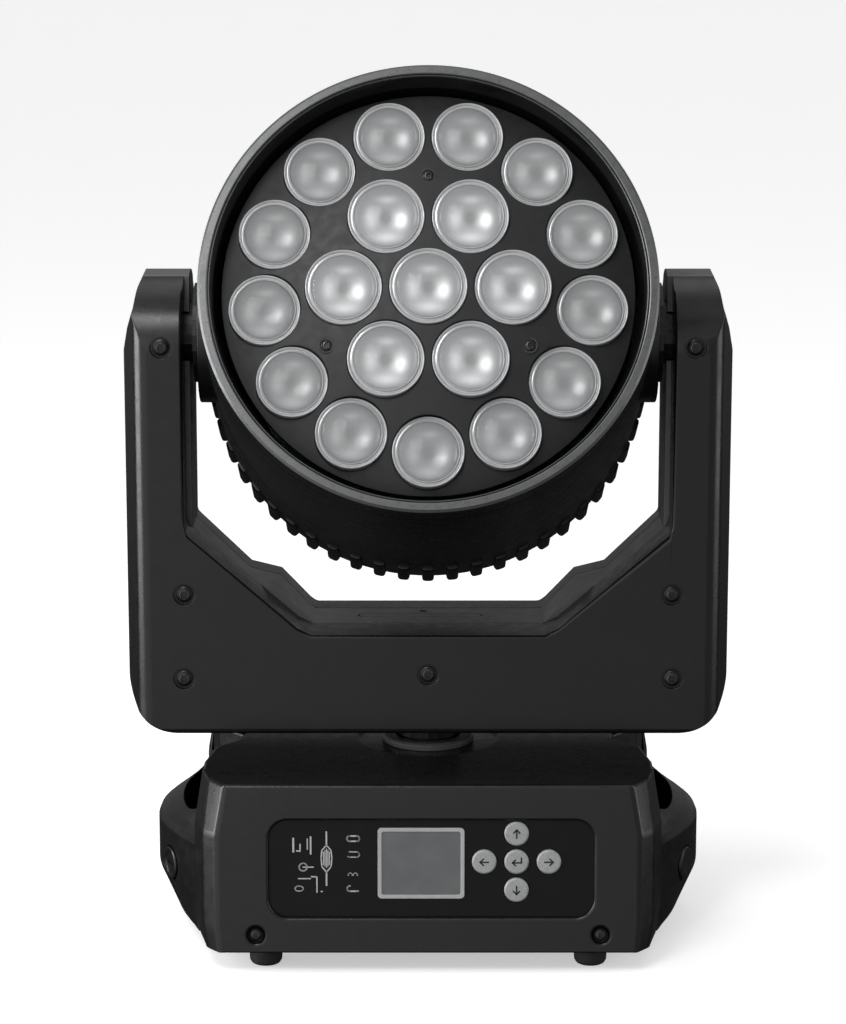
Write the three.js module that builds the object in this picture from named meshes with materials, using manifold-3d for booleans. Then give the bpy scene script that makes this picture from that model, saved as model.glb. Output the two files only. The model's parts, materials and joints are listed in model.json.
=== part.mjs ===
// Moving head wash light: a base with a control panel, a yoke that pans on it,
// and a round head of twenty lenses that tilts between the yoke's arms.
// Millimetres, +Z up, the front faces -Y. The origin is on the pan axis, in the
// plane of the base's underside.
import * as THREE from 'three';
import { mergeVertices } from 'three/addons/utils/BufferGeometryUtils.js';
import Module from 'manifold-3d';

const wasm = await Module();
wasm.setup();

// ---------------------------------------------------------------- dimensions
const GAP = 0.3; // clearance between pieces that touch
const FEW = 8; // sides on lenses and on small, medium and large round pieces
const SMALL = 12;
const ROUND = 20;
const LARGE = 36;

// base
const BASE_TOP = 109;
const BASE_FRONT_LOW = 118; // front face to the pan axis, at the underside
const BASE_FRONT_HIGH = 110; // the same at the top, so the face leans back
const BASE_REAR = 116;
const CORNER = { front: 134.5, side: 144, bevel: 10, widest: 150.3 }; // the corner blocks' plan
const WAIST = { rim: 145.8, shoulder: [144.5, 56], flank: [139, 24], inner: [122, 5] };
const SKIRT_Z = 20; // below this the base narrows a little towards the underside
const SHOULDER_Z = 76; // height where the corner blocks start to narrow
const WALL = 3;
const LID = 6;
const FOOT = { x: 104, y: 95, radius: 10.5, height: 14 };
const FACE_LEAN = Math.atan((BASE_FRONT_LOW - BASE_FRONT_HIGH) / BASE_TOP);

// control panel, measured along the leaning front face
const PANEL = { x: 2, z: 54.5, width: 206, height: 63, radius: 12 };
const DISPLAY = { x: -4.5, z: 58, width: 55, height: 46 };
const BUTTON = { radius: 7.8, x: 56, z: 59, pitch: 20.5, rise: 18.3, proud: 2.3, length: 7 };

// inside the base: x0, x1, y0, y1, z0, z1
const SUPPLY = [-112, -48, -80, 70, 5.5, 48];
const BOARD = [-95, 100, -96, -94.4, 12, 82];

// rear panel, all at one height
const REAR = { z: 54, width: 226, height: 70, mouth: [216, 60] };
const INLET = { x: -72, tub: [32, 26], flange: [50, 31], mouth: [25, 18.5] };
const FUSE = { x: -26, radius: 6.8, cap: 9 };
const DATA = { input: 30, output: 70, tub: 12, flange: [26, 31], mouth: 9.5 };

// handles
const HANDLE = { inner: 146.3, bow: 31, low: 18, half: 76, quarter: 80, wall: 4.2 };
const HANDLE_Z = { knee: 26, shoulder: 58, rim: 67, deck: 78 };
const SLOT = { reach: 14, half: 48 };
const SWITCH = { y: -42, z: 35, radius: 10.8, proud: 1.2, depth: 7 };

// yoke
const TILT_Z = 379;
const ARM_ROUND_Z = 373; // centre of the arms' half-round tops
const YOKE_BOTTOM = 123.5;
const ARM_HALF_DEPTH = 47;
const ARM_OUTER = 195;
const ARM_INNER = 152.5;
const COVER_INNER = 156; // the front cover's opening is a little wider
const COVER_LINE = [[75, 189.5], [84, 194], [154.6, 255.5], [COVER_INNER, 262]];
const FRAME_LINE = [[74, 189.5], [78, 192.5], [97, 212.5], [117, 217.5], [ARM_INNER, 252]];
const ARM_TOP = [[0, -3], [3.5, 14], [8, 28], [10, 39], [14, 47]]; // inwards, above the round's centre
const ARM_PLAN = [[14, 0], [8, 5], [0, 31]]; // inwards from the side, in from the front
const FRAME_FRONT = -13.7;
const FRAME_REAR = 25;
const YOKE_CORNER = 36; // radius of the lower outer corners, seen from the front
const YOKE_CHAMFER = 4;
const SEAT = { pad: 36, padRadius: 40, housing: [159.6, 169.6], rim: 20.8 }; // tilt bearings

// head, along its own axis from the tilt axis; positive is towards the lenses
const HEAD_REST_TILT = THREE.MathUtils.degToRad(24.57);
const FACE = { length: 116, radius: 142, mouth: 135, throat: 130.5, rear: 86 };
const SHROUD = { front: 93.7, rear: -55, frontRadius: 142, rearRadius: 143.5 };
const RIBS = { front: -55.3, rear: -92, root: 141.5, tip: 146, count: 56, inner: 134 };
const CAP = { front: -92.3, rear: -127, radius: 142, backRadius: 110, vent: 46 };
const PLATE = { crown: 114.8, drop: 20, edge: 128, thickness: 3 };
const LENS = { centre: 24, inner: 23.8, outer: 22.3, proud: 7, deep: 8 };
const RINGS = { inner: 52, innerCount: 6, outer: 101.6, outerCount: 13 };
const ROD = { circle: 72, radius: 3, rear: 30 };
const HUB = { shaft: 20, flange: 32, boss: 45, bore: 8, nose: 12, inner: 146.8, end: 170.8 };
const BOSS_REACH = [132, 146.5]; // the shroud's side bosses, from the pan axis
const SINK = { radius: 116, front: 14, plate: 20, back: 75, fins: 11, pitch: 20, fin: 1.2 };
const FAN = { centre: 92, hub: 18, hubHalf: 9, blades: 7, reach: 40, frame: 92, bore: 42.5 };
const GRILLE = { front: 124.5, back: 126.5, spoke: 43, rings: [[44.5, 41], [31, 28], [17, 0]] };

// drives
const TILT_PULLEY = { driven: 30, driver: 10, x0: 171.5, x1: 181.5, motorY: 2, motorZ: 158 };
const PAN_PULLEY = { driven: 36, driver: 10, z0: 64, z1: 76, motorY: 72 };
const PAN_SHAFT = { radius: 20, bore: 13, low: 58, flange: 32 };
const BEARING_WALL = 9.4;
const BELT = 2;
const MOTOR = 42;

// ------------------------------------------------------------------- helpers
function volumeOf(geometry) {
  const position = geometry.attributes.position;
  const index = geometry.index;
  const corner = [new THREE.Vector3(), new THREE.Vector3(), new THREE.Vector3()];
  let volume = 0;
  for (let i = 0; i < index.count; i += 3) {
    corner.forEach((c, k) => c.fromBufferAttribute(position, index.getX(i + k)));
    volume += corner[0].dot(corner[1].cross(corner[2])) / 6;
  }
  return volume;
}

// Turn the faces outwards on a mirrored or inside-out skin.
function faceOut(geometry) {
  if (volumeOf(geometry) > 0) return geometry;
  const index = geometry.index.array;
  for (let i = 0; i < index.length; i += 3) [index[i], index[i + 1]] = [index[i + 1], index[i]];
  return geometry;
}

// One closed skin with shared vertices, no collapsed triangles and its faces outwards.
function clean(geometry) {
  if (geometry.userData.shared) return faceOut(geometry);
  const bare = geometry.clone();
  bare.deleteAttribute('normal');
  bare.deleteAttribute('uv');
  const merged = mergeVertices(bare, 1e-3);
  const kept = [];
  const index = merged.index;
  for (let i = 0; i < index.count; i += 3) {
    const [a, b, c] = [index.getX(i), index.getX(i + 1), index.getX(i + 2)];
    if (a !== b && b !== c && a !== c) kept.push(a, b, c);
  }
  merged.setIndex(kept);
  merged.userData.shared = true;
  return faceOut(merged);
}

function toSolid(geometry) {
  const skin = clean(geometry);
  const vertProperties = new Float32Array(skin.attributes.position.array);
  const triVerts = new Uint32Array(skin.index.array);
  return new wasm.Manifold(new wasm.Mesh({ numProp: 3, vertProperties, triVerts }));
}

function toGeometry(solid) {
  const mesh = solid.getMesh();
  const geometry = new THREE.BufferGeometry();
  geometry.setAttribute('position', new THREE.BufferAttribute(mesh.vertProperties, 3));
  geometry.setIndex(new THREE.BufferAttribute(mesh.triVerts, 1));
  geometry.userData.shared = true;
  return geometry;
}

const combine = (how) => (first, ...others) =>
  toGeometry(others.reduce((sum, next) => sum[how](toSolid(next)), toSolid(first)));
const join = combine('add');
const cut = combine('subtract');
const common = combine('intersect');

function extrude(outline, depth, holes) {
  const shape = new THREE.Shape(outline.map(([x, y]) => new THREE.Vector2(x, y)));
  for (const hole of holes) {
    shape.holes.push(new THREE.Path(hole.map(([x, y]) => new THREE.Vector2(x, y))));
  }
  return new THREE.ExtrudeGeometry(shape, { depth, bevelEnabled: false });
}

// Slabs of a flat outline: [x, y] along Z, [x, z] along Y and [y, z] along X.
function slabZ(outline, z0, z1, holes = []) {
  return extrude(outline, z1 - z0, holes).translate(0, 0, z0);
}

function slabY(outline, y0, y1, holes = []) {
  return extrude(outline, y1 - y0, holes).rotateX(Math.PI / 2).translate(0, y1, 0);
}

function slabX(outline, x0, x1, holes = []) {
  const turn = new THREE.Matrix4().makeBasis(
    new THREE.Vector3(0, 1, 0), new THREE.Vector3(0, 0, 1), new THREE.Vector3(1, 0, 0));
  return extrude(outline, x1 - x0, holes).applyMatrix4(turn).translate(x0, 0, 0);
}

function circle(radius, sides = ROUND, cx = 0, cy = 0) {
  return Array.from({ length: sides }, (_, i) => {
    const angle = (i / sides) * 2 * Math.PI;
    return [cx + radius * Math.cos(angle), cy + radius * Math.sin(angle)];
  });
}

function arc(cx, cy, radius, from, to, steps) {
  return Array.from({ length: steps + 1 }, (_, i) => {
    const angle = from + ((to - from) * i) / steps;
    return [cx + radius * Math.cos(angle), cy + radius * Math.sin(angle)];
  });
}

function rectangle(x, y, width, height, radius = 0, steps = 4) {
  const [w, h] = [width / 2 - radius, height / 2 - radius];
  const corners = [[w, h], [-w, h], [-w, -h], [w, -h]];
  if (radius === 0) return corners.map(([u, v]) => [x + u, y + v]);
  return corners.flatMap(([u, v], i) =>
    arc(x + u, y + v, radius, (i * Math.PI) / 2, ((i + 1) * Math.PI) / 2, steps));
}

function block(x0, x1, y0, y1, z0, z1) {
  return slabZ([[x0, y0], [x1, y0], [x1, y1], [x0, y1]], z0, z1);
}

// Move each edge of an anticlockwise outline inwards; a negative distance grows it.
function inset(outline, distance) {
  const n = outline.length;
  const shifted = outline.map(([x, y], i) => {
    const [nx, ny] = outline[(i + 1) % n];
    const size = Math.hypot(nx - x, ny - y);
    const inward = [-(ny - y) / size, (nx - x) / size];
    return { from: [x + inward[0] * distance, y + inward[1] * distance], along: [nx - x, ny - y] };
  });
  return shifted.map((edge, i) => {
    const before = shifted[(i + n - 1) % n];
    const cross = before.along[0] * edge.along[1] - before.along[1] * edge.along[0];
    const [dx, dy] = [edge.from[0] - before.from[0], edge.from[1] - before.from[1]];
    const t = (dx * edge.along[1] - dy * edge.along[0]) / cross;
    return [before.from[0] + before.along[0] * t, before.from[1] + before.along[1] * t];
  });
}

// A ring-shaped or solid turned piece: profile points are [radius, place on the axis],
// with the axis along -Y.
function turned(profile, sides = LARGE) {
  return clean(new THREE.LatheGeometry(profile.map(([r, l]) => new THREE.Vector2(r, -l)), sides));
}

function closed(profile) {
  return [...profile, profile[0]];
}

// Skin a row of outlines that have the same number of points, and cap both ends.
function loft(rings, capPlane) {
  const n = rings[0].length;
  const positions = rings.flat(2);
  const faces = [];
  for (let ring = 0; ring + 1 < rings.length; ring += 1) {
    for (let i = 0; i < n; i += 1) {
      const [a, b] = [ring * n + i, ring * n + ((i + 1) % n)];
      faces.push(a, b, b + n, a, b + n, a + n);
    }
  }
  const flat = (ring) => ring.map((p) => new THREE.Vector2(p[capPlane[0]], p[capPlane[1]]));
  const last = (rings.length - 1) * n;
  const near = THREE.ShapeUtils.triangulateShape(flat(rings[0]), []);
  const far = THREE.ShapeUtils.triangulateShape(flat(rings[rings.length - 1]), []);
  for (const [a, b, c] of near) faces.push(a, c, b);
  for (const [a, b, c] of far) faces.push(last + a, last + b, last + c);
  const geometry = new THREE.BufferGeometry();
  geometry.setAttribute('position', new THREE.Float32BufferAttribute(positions, 3));
  geometry.setIndex(faces);
  return clean(geometry);
}

const mirrorX = (outline) => [...outline, ...outline.map(([x, y]) => [-x, y]).reverse()];

// A belt's outline round two pulleys: centre 1 at (a, b) with radius r1, centre 2 at (c, d).
function beltLine([a, b], r1, [c, d], r2) {
  const direction = Math.atan2(d - b, c - a);
  const spread = Math.acos((r1 - r2) / Math.hypot(c - a, d - b));
  return [
    ...arc(a, b, r1, direction + spread, direction + 2 * Math.PI - spread, ROUND),
    ...arc(c, d, r2, direction - spread, direction + spread, SMALL / 2),
  ];
}

function material(color, roughness, metalness) {
  return new THREE.MeshStandardMaterial({ color, roughness, metalness });
}

function add(parent, name, geometry, finish) {
  const mesh = new THREE.Mesh(clean(geometry), finish);
  mesh.name = name;
  parent.add(mesh);
  return mesh;
}

const FINISH = {
  shell: () => material(0x1b1b1b, 0.55, 0.0),
  lightShell: () => material(0x4a4a4a, 0.5, 0.1),
  bezel: () => material(0x55575a, 0.35, 0.5),
  plate: () => material(0x080808, 0.6, 0.0),
  lens: () => material(0xc9d2d8, 0.1, 0.0),
  steel: () => material(0x9a9a9a, 0.3, 0.9),
  aluminium: () => material(0xb8babc, 0.4, 0.8),
  board: () => material(0x1f5a34, 0.6, 0.0),
  rubber: () => material(0x101010, 0.9, 0.0),
  button: () => material(0x8b9095, 0.5, 0.0),
  display: () => material(0x9aa2ab, 0.2, 0.0),
  motor: () => material(0x303236, 0.45, 0.5),
};

// ---------------------------------------------------------------------- base
// A quarter of the base's plan, from the front edge round to the waist, at height z.
// The handle's end stands in a small step behind the corner block.
function baseQuarter(z, front, stepped) {
  const high = Math.max(0, (z - SHOULDER_Z) / (BASE_TOP - SHOULDER_Z));
  const low = Math.max(0, 1 - z / SKIRT_Z);
  const widest = CORNER.widest - 5.9 * high - 3 * low;
  const behind = Math.min(WAIST.rim, widest);
  const step = stepped ? [[widest, HANDLE.half + 1.2], [behind, HANDLE.half + 0.8]]
    : [[behind, HANDLE.half + 1]];
  return [
    [CORNER.front - 5.5 * high - 1.5 * low, front],
    [CORNER.side - 4.3 * high - 3 * low, front - CORNER.bevel - 5 * high],
    ...step,
    WAIST.shoulder,
    WAIST.flank,
    WAIST.inner,
  ];
}

function baseOutline(z, stepped = true) {
  const front = BASE_FRONT_LOW + ((BASE_FRONT_HIGH - BASE_FRONT_LOW) * z) / BASE_TOP;
  return mirrorX([
    ...baseQuarter(z, front, stepped).map(([x, y]) => [x, -y]),
    ...baseQuarter(z, BASE_REAR, stepped).reverse(),
  ]);
}

function baseBody(heights, shrink) {
  const level = (z, at) => inset(baseOutline(z, shrink === 0), shrink).map(([x, y]) => [x, y, at]);
  return loft(heights.map(([z, at]) => level(z, at)), [0, 1]);
}

function baseHousing() {
  const outer = baseBody([0, SKIRT_Z, SHOULDER_Z, BASE_TOP].map((z) => [z, z]), 0);
  const under = BASE_TOP - LID;
  const levels = [[0, -1], [SKIRT_Z, SKIRT_Z], [SHOULDER_Z, SHOULDER_Z], [under, under]];
  const inner = baseBody(levels, WALL);
  const bearingSeat = slabZ(circle(36), under - 15, under + 1);
  const shell = join(cut(outer, inner), bearingSeat);
  const pan = slabZ(circle(PAN_SHAFT.radius + 0.8), 0, BASE_TOP + 1);
  const bearingBore = slabZ(circle(PAN_SHAFT.radius + BEARING_WALL + 2 * GAP), 0, under);
  const recess = slabZ(circle(46, LARGE), BASE_TOP - 2, BASE_TOP + 1);
  const panelMouth = onFrontFace(
    slabY(rectangle(PANEL.x, PANEL.z, PANEL.width, PANEL.height, PANEL.radius), -5, 8));
  const rearMouth = slabY(rectangle(0, REAR.z, ...REAR.mouth, 6, 2), BASE_REAR - 8, BASE_REAR + 2);
  return cut(shell, pan, bearingBore, recess, panelMouth, rearMouth);
}

// Move a piece from the panel's own axes (x across, z up the face, -y outwards).
function onFrontFace(geometry) {
  return geometry.rotateX(-FACE_LEAN).translate(0, -BASE_FRONT_LOW, 0);
}

function baseChassis() {
  const plate = slabZ(inset(baseOutline(0, false), WALL + 1.2), 2, 5);
  const pad = block(-60, 60, -35, 55, 0, 3);
  return join(plate, pad);
}

const bowAt = (y) => Math.cos((Math.PI * y) / (2 * HANDLE.quarter));

function handleSection(y, deep) {
  const outer = HANDLE.inner + 0.7 + HANDLE.bow * bowAt(y) - deep;
  const foot = HANDLE.inner + 0.7 + HANDLE.low * bowAt(y) - deep;
  const room = outer - HANDLE.inner;
  const [edge, round] = [Math.min(2, room * 0.2), Math.min(7, room * 0.45)];
  const back = HANDLE.inner - (deep > 0 ? 6 : 0);
  const sink = deep > 0 ? 2 : 0;
  const thick = deep * 1.1;
  return [
    [back, y, -sink],
    [foot, y, -sink],
    [outer, y, HANDLE_Z.knee],
    [outer, y, HANDLE_Z.shoulder - thick / 2],
    [outer - edge, y, HANDLE_Z.shoulder + 5 - thick],
    [outer - round, y, HANDLE_Z.rim - thick],
    [back, y, HANDLE_Z.deck - thick],
  ];
}

function handleBody(half, deep) {
  const steps = 10;
  const stations = Array.from({ length: steps + 1 }, (_, i) => -half + (2 * half * i) / steps);
  return loft(stations.map((y) => handleSection(y, deep)), [0, 2]);
}

// Where the round switch or plug sits in a handle's wall: a frame with -Y outwards.
function switchPlace(side) {
  const x = HANDLE.inner + 0.7 + HANDLE.bow * bowAt(SWITCH.y);
  const slope = ((HANDLE.bow * Math.PI) / (2 * HANDLE.quarter))
    * Math.sin((Math.PI * SWITCH.y) / (2 * HANDLE.quarter));
  const turn = Math.PI / 2 - Math.atan(-slope);
  return { position: [side * x, SWITCH.y, SWITCH.z], turn: side * turn };
}

function placed(geometry, { position, turn }) {
  return geometry.rotateZ(turn).translate(...position);
}

function handle(side) {
  const hollow = handleBody(HANDLE.half - 10, HANDLE.wall);
  const slot = slabZ([
    [HANDLE.inner - 8, -SLOT.half], [HANDLE.inner, -SLOT.half],
    ...Array.from({ length: 17 }, (_, i) => {
      const angle = -Math.PI / 2 + (Math.PI * i) / 16;
      return [HANDLE.inner + 0.7 + SLOT.reach * Math.cos(angle), SLOT.half * Math.sin(angle)];
    }),
    [HANDLE.inner, SLOT.half], [HANDLE.inner - 8, SLOT.half],
  ], 40, HANDLE_Z.deck + 4);
  const body = cut(handleBody(HANDLE.half, 0), hollow, slot);
  if (side < 0) body.scale(-1, 1, 1);
  const bore = placed(slabY(circle(SWITCH.radius + 0.5), -6, 10), switchPlace(side));
  return cut(body, bore);
}

function frontPanel() {
  const edge = 4;
  const plate = slabY(rectangle(PANEL.x, PANEL.z, PANEL.width + 2 * edge,
    PANEL.height + 2 * edge, PANEL.radius), WALL + GAP, 2 * WALL + GAP,
  buttonPlaces().map(([, x, z]) => circle(BUTTON.radius + GAP, ROUND, x, z)));
  return onFrontFace(plate);
}

function buttonPlaces() {
  const { x, z, pitch, rise } = BUTTON;
  return [
    ['button_up', x, z + rise],
    ['button_left', x - pitch, z],
    ['button_enter', x, z],
    ['button_right', x + pitch, z],
    ['button_down', x, z - rise],
  ];
}

function buildBase(parent) {
  add(parent, 'base_chassis', baseChassis(), FINISH.aluminium());
  add(parent, 'base_housing', baseHousing(), FINISH.shell());
  add(parent, 'front_panel', frontPanel(), FINISH.shell());
  const face = WALL + GAP;
  const glass = rectangle(DISPLAY.x, DISPLAY.z, DISPLAY.width, DISPLAY.height, 3, 2);
  add(parent, 'display_window', onFrontFace(slabY(glass, face - 1.6, face - GAP)),
    FINISH.display());
  for (const [name, x, z] of buttonPlaces()) {
    const cap = slabY(circle(BUTTON.radius, ROUND, x, z), face - BUTTON.proud,
      face - BUTTON.proud + BUTTON.length);
    add(parent, name, onFrontFace(cap), FINISH.button());
  }
  add(parent, 'handle_left', handle(-1), FINISH.shell());
  add(parent, 'handle_right', handle(1), FINISH.shell());
  const cap = slabY(circle(SWITCH.radius), -SWITCH.proud, SWITCH.depth);
  add(parent, 'power_button', placed(cap, switchPlace(1)), FINISH.shell());
  for (const [name, sx, sy] of [['foot_front_left', -1, -1], ['foot_front_right', 1, -1],
    ['foot_rear_left', -1, 1], ['foot_rear_right', 1, 1]]) {
    const foot = slabZ(circle(FOOT.radius, ROUND, sx * FOOT.x, sy * FOOT.y), -FOOT.height, 2 - GAP);
    add(parent, name, foot, FINISH.rubber());
  }
  const collar = slabZ(circle(30), BASE_TOP - 2 + GAP, BASE_TOP + 3,
    [circle(PAN_SHAFT.radius + 0.6)]);
  add(parent, 'pan_collar', collar, FINISH.lightShell());
  buildRear(parent);
  buildBaseInside(parent);
}

// Sockets on a plate behind the opening in the rear wall.
function buildRear(parent) {
  const face = BASE_REAR - WALL;
  const plateFront = face - GAP;
  const { z } = REAR;
  const sockets = [['dmx_input', DATA.input], ['dmx_output', DATA.output]];
  const holes = [
    rectangle(INLET.x, z, ...INLET.tub.map((size) => size + 2 * GAP)),
    circle(FUSE.radius + GAP, SMALL, FUSE.x, z),
    ...sockets.map(([, x]) => circle(DATA.tub + GAP, ROUND, x, z)),
  ];
  const plate = slabY(rectangle(0, z, REAR.width, REAR.height, 4, 2), plateFront - 2, plateFront,
    holes);
  add(parent, 'rear_panel', plate, FINISH.motor());

  const inletBody = join(
    slabY(rectangle(INLET.x, z, ...INLET.tub), face - 22, face + 1),
    slabY(rectangle(INLET.x, z, ...INLET.flange, 3, 2), face, face + 2.5));
  const inletMouth = slabY(rectangle(INLET.x, z, ...INLET.mouth, 2, 1), face - 14, face + 5);
  add(parent, 'power_inlet', cut(inletBody, inletMouth), FINISH.shell());

  const fuseCap = join(
    slabY(circle(FUSE.radius, SMALL, FUSE.x, z), face - 18, face + 1),
    slabY(circle(FUSE.cap, ROUND, FUSE.x, z), face, face + 5));
  add(parent, 'fuse_holder', fuseCap, FINISH.shell());

  for (const [name, x] of sockets) {
    const body = join(
      slabY(circle(DATA.tub, ROUND, x, z), face - 20, face + 1),
      slabY(rectangle(x, z, ...DATA.flange, 2, 1), face, face + 2.5));
    const mouth = slabY(circle(DATA.mouth, ROUND, x, z), face - 12, face + 5);
    add(parent, name, cut(body, mouth), FINISH.shell());
  }
}

function buildBaseInside(parent) {
  add(parent, 'power_supply', block(...SUPPLY), FINISH.aluminium());
  add(parent, 'control_board', block(...BOARD), FINISH.board());

  const [low, high] = [PAN_PULLEY.z0, PAN_PULLEY.z1];
  const y = PAN_PULLEY.motorY;
  const motor = cut(
    slabZ(rectangle(0, y, MOTOR, MOTOR, 4, 2), 22, low - 4),
    slabZ(circle(3, SMALL, 0, y), low - 16, low));
  add(parent, 'pan_motor', motor, FINISH.motor());
  const pulley = join(
    slabZ(circle(PAN_PULLEY.driver, ROUND, 0, y), low, high),
    slabZ(circle(2.6, SMALL, 0, y), low - 14, low + 1));
  add(parent, 'pan_motor_pulley', pulley, FINISH.aluminium());
  const inner = beltLine([0, 0], PAN_PULLEY.driven + GAP, [0, y], PAN_PULLEY.driver + GAP);
  const outer = beltLine([0, 0], PAN_PULLEY.driven + GAP + BELT,
    [0, y], PAN_PULLEY.driver + GAP + BELT);
  add(parent, 'pan_belt', slabZ(outer, low + 1, high - 1, [inner]), FINISH.rubber());

  const under = BASE_TOP - LID;
  const bearing = slabZ(circle(PAN_SHAFT.radius + GAP + BEARING_WALL), under - 13, under - GAP,
    [circle(PAN_SHAFT.radius + GAP)]);
  add(parent, 'pan_bearing', bearing, FINISH.steel());
}

// ---------------------------------------------------------------------- yoke
function yokeFace() {
  const corner = YOKE_CORNER;
  const right = [
    ...arc(ARM_OUTER - corner, YOKE_BOTTOM + corner, corner, -Math.PI / 2, 0, 8),
    ...ARM_TOP.map(([inwards, up]) => [ARM_OUTER - inwards, ARM_ROUND_Z + up]),
  ];
  return mirrorX(right);
}

function yokeSide() {
  const [d, c] = [ARM_HALF_DEPTH, YOKE_CHAMFER];
  return [
    [-d + c, YOKE_BOTTOM], [d - c, YOKE_BOTTOM], [d, YOKE_BOTTOM + c],
    ...arc(0, ARM_ROUND_Z, d, 0, Math.PI, 16),
    [-d, YOKE_BOTTOM + c],
  ];
}

function yokePlan() {
  const front = ARM_PLAN.map(([x, y]) => [ARM_OUTER - x, y - ARM_HALF_DEPTH]);
  const rear = front.map(([x, y]) => [x, -y]).reverse();
  return mirrorX([...front, ...rear]);
}

// The space between the arms; the frame and rear cover carry a hump on each side.
const coverOpening = () => mirrorX([...COVER_LINE, [COVER_INNER, TILT_Z + 60]]);
const frameOpening = () => mirrorX([...FRAME_LINE, [ARM_INNER, TILT_Z + 60]]);

function yokeBlank(shrink) {
  const reach = 250;
  return common(
    slabY(inset(yokeFace(), shrink), -reach, reach),
    slabX(inset(yokeSide(), shrink), -reach, reach),
    slabZ(inset(yokePlan(), shrink), -reach, 2 * reach));
}

// A slice of the yoke between two depths, hollow where walls leave room.
function yokeSlice(opening, y0, y1, hollow0, hollow1) {
  const reach = 250;
  const slice = (from, to) => block(-reach, reach, from, to, 0, 2 * reach);
  const solid = cut(yokeBlank(0), slabY(opening, -reach, reach));
  const inside = cut(yokeBlank(WALL), slabY(inset(opening, -WALL), -reach, reach));
  return cut(common(solid, slice(y0, y1)), common(inside, slice(hollow0, hollow1)));
}

const shaftHole = (radius, x0 = -200, x1 = 200) =>
  slabX(circle(radius, ROUND, 0, TILT_Z), x0, x1);

const panHole = () => slabZ(circle(PAN_SHAFT.radius + GAP), 100, YOKE_BOTTOM + 10);

// A thin web that closes the frame's front where the front cover's edge is straight.
function frameLip() {
  const lip = cut(slabY(inset(coverOpening(), -6), FRAME_FRONT, FRAME_FRONT + 2.5),
    slabY(frameOpening(), -ARM_HALF_DEPTH, ARM_HALF_DEPTH));
  return common(lip, yokeBlank(0.5));
}

function yokeFrame() {
  let body = join(
    yokeSlice(frameOpening(), FRAME_FRONT, FRAME_REAR, FRAME_FRONT - 1, FRAME_REAR + 1),
    frameLip());
  const seat = BEARING_WALL + GAP + HUB.shaft + GAP;
  for (const side of [-1, 1]) {
    const span = (a, b) => [Math.min(side * a, side * b), Math.max(side * a, side * b)];
    const [pad0, pad1] = span(ARM_INNER + 1, SEAT.housing[0] + 2);
    const pad = block(pad0, pad1, FRAME_FRONT, FRAME_REAR, TILT_Z - SEAT.pad, TILT_Z + SEAT.pad);
    const housing = shaftHole(SEAT.pad, ...span(...SEAT.housing));
    body = join(body, common(pad, shaftHole(SEAT.padRadius)), housing);
    body = cut(body, shaftHole(seat, ...span(SEAT.housing[0] + 0.2, SEAT.housing[1] + 2)));
    body = cut(body, shaftHole(SEAT.rim, ...span(ARM_INNER - 2, SEAT.housing[1] + 5)));
  }
  return cut(body, panHole());
}

function yokeFrontCover() {
  const front = -ARM_HALF_DEPTH;
  const body = yokeSlice(coverOpening(), front, FRAME_FRONT - GAP, front + WALL, FRAME_FRONT + 1);
  return cut(body, shaftHole(21, -COVER_INNER - 5, COVER_INNER + 5), panHole());
}

function yokeRearCover() {
  const rear = ARM_HALF_DEPTH;
  return yokeSlice(frameOpening(), FRAME_REAR + GAP, rear, FRAME_REAR - 1, rear - WALL);
}

function buildYoke(parent) {
  add(parent, 'yoke_frame', yokeFrame(), FINISH.lightShell());
  add(parent, 'yoke_front_cover', yokeFrontCover(), FINISH.shell());
  add(parent, 'yoke_rear_cover', yokeRearCover(), FINISH.shell());

  const bore = HUB.shaft + GAP;
  const ring = (x0) => slabX(circle(bore + BEARING_WALL, ROUND, 0, TILT_Z), x0, x0 + BEARING_WALL,
    [circle(bore, ROUND, 0, TILT_Z)]);
  const near = SEAT.housing[0] + 0.5;
  add(parent, 'tilt_bearing_left', ring(-near - BEARING_WALL), FINISH.steel());
  add(parent, 'tilt_bearing_right', ring(near), FINISH.steel());

  const { motorY: y, motorZ: z, x0, x1, driven, driver } = TILT_PULLEY;
  const motor = cut(
    slabX(rectangle(y, z, MOTOR, MOTOR, 4, 2), 124, 163),
    slabX(circle(3, SMALL, y, z), 150, 164));
  add(parent, 'tilt_motor', motor, FINISH.motor());
  const pulley = join(
    slabX(circle(driver, ROUND, y, z), x0, x1),
    slabX(circle(2.6, SMALL, y, z), 152, x0 + 1));
  add(parent, 'tilt_motor_pulley', pulley, FINISH.aluminium());
  const inner = beltLine([0, TILT_Z], driven + GAP, [y, z], driver + GAP);
  const outer = beltLine([0, TILT_Z], driven + GAP + BELT, [y, z], driver + GAP + BELT);
  add(parent, 'tilt_belt', slabX(outer, x0 + 1, x1 - 1, [inner]), FINISH.rubber());

  const { radius, low, flange } = PAN_SHAFT;
  const floor = YOKE_BOTTOM + WALL + GAP;
  const spindle = cut(
    join(slabZ(circle(radius), low, floor + 2), slabZ(circle(flange), floor, floor + 4)),
    slabZ(circle(PAN_SHAFT.bore), low - 1, floor + 10));
  add(parent, 'pan_spindle', spindle, FINISH.steel());
  add(parent, 'pan_driven_pulley', slabZ(circle(PAN_PULLEY.driven, LARGE), PAN_PULLEY.z0,
    PAN_PULLEY.z1, [circle(radius + GAP)]), FINISH.aluminium());
}

// ---------------------------------------------------------------------- head
const plateAt = (r) => PLATE.crown - PLATE.drop * (r / (PLATE.edge + 2)) ** 2;

function ringPlaces(count, radius, start) {
  return Array.from({ length: count }, (_, i) => {
    const angle = start + (i / count) * 2 * Math.PI;
    return [radius * Math.cos(angle), radius * Math.sin(angle)];
  });
}

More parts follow.
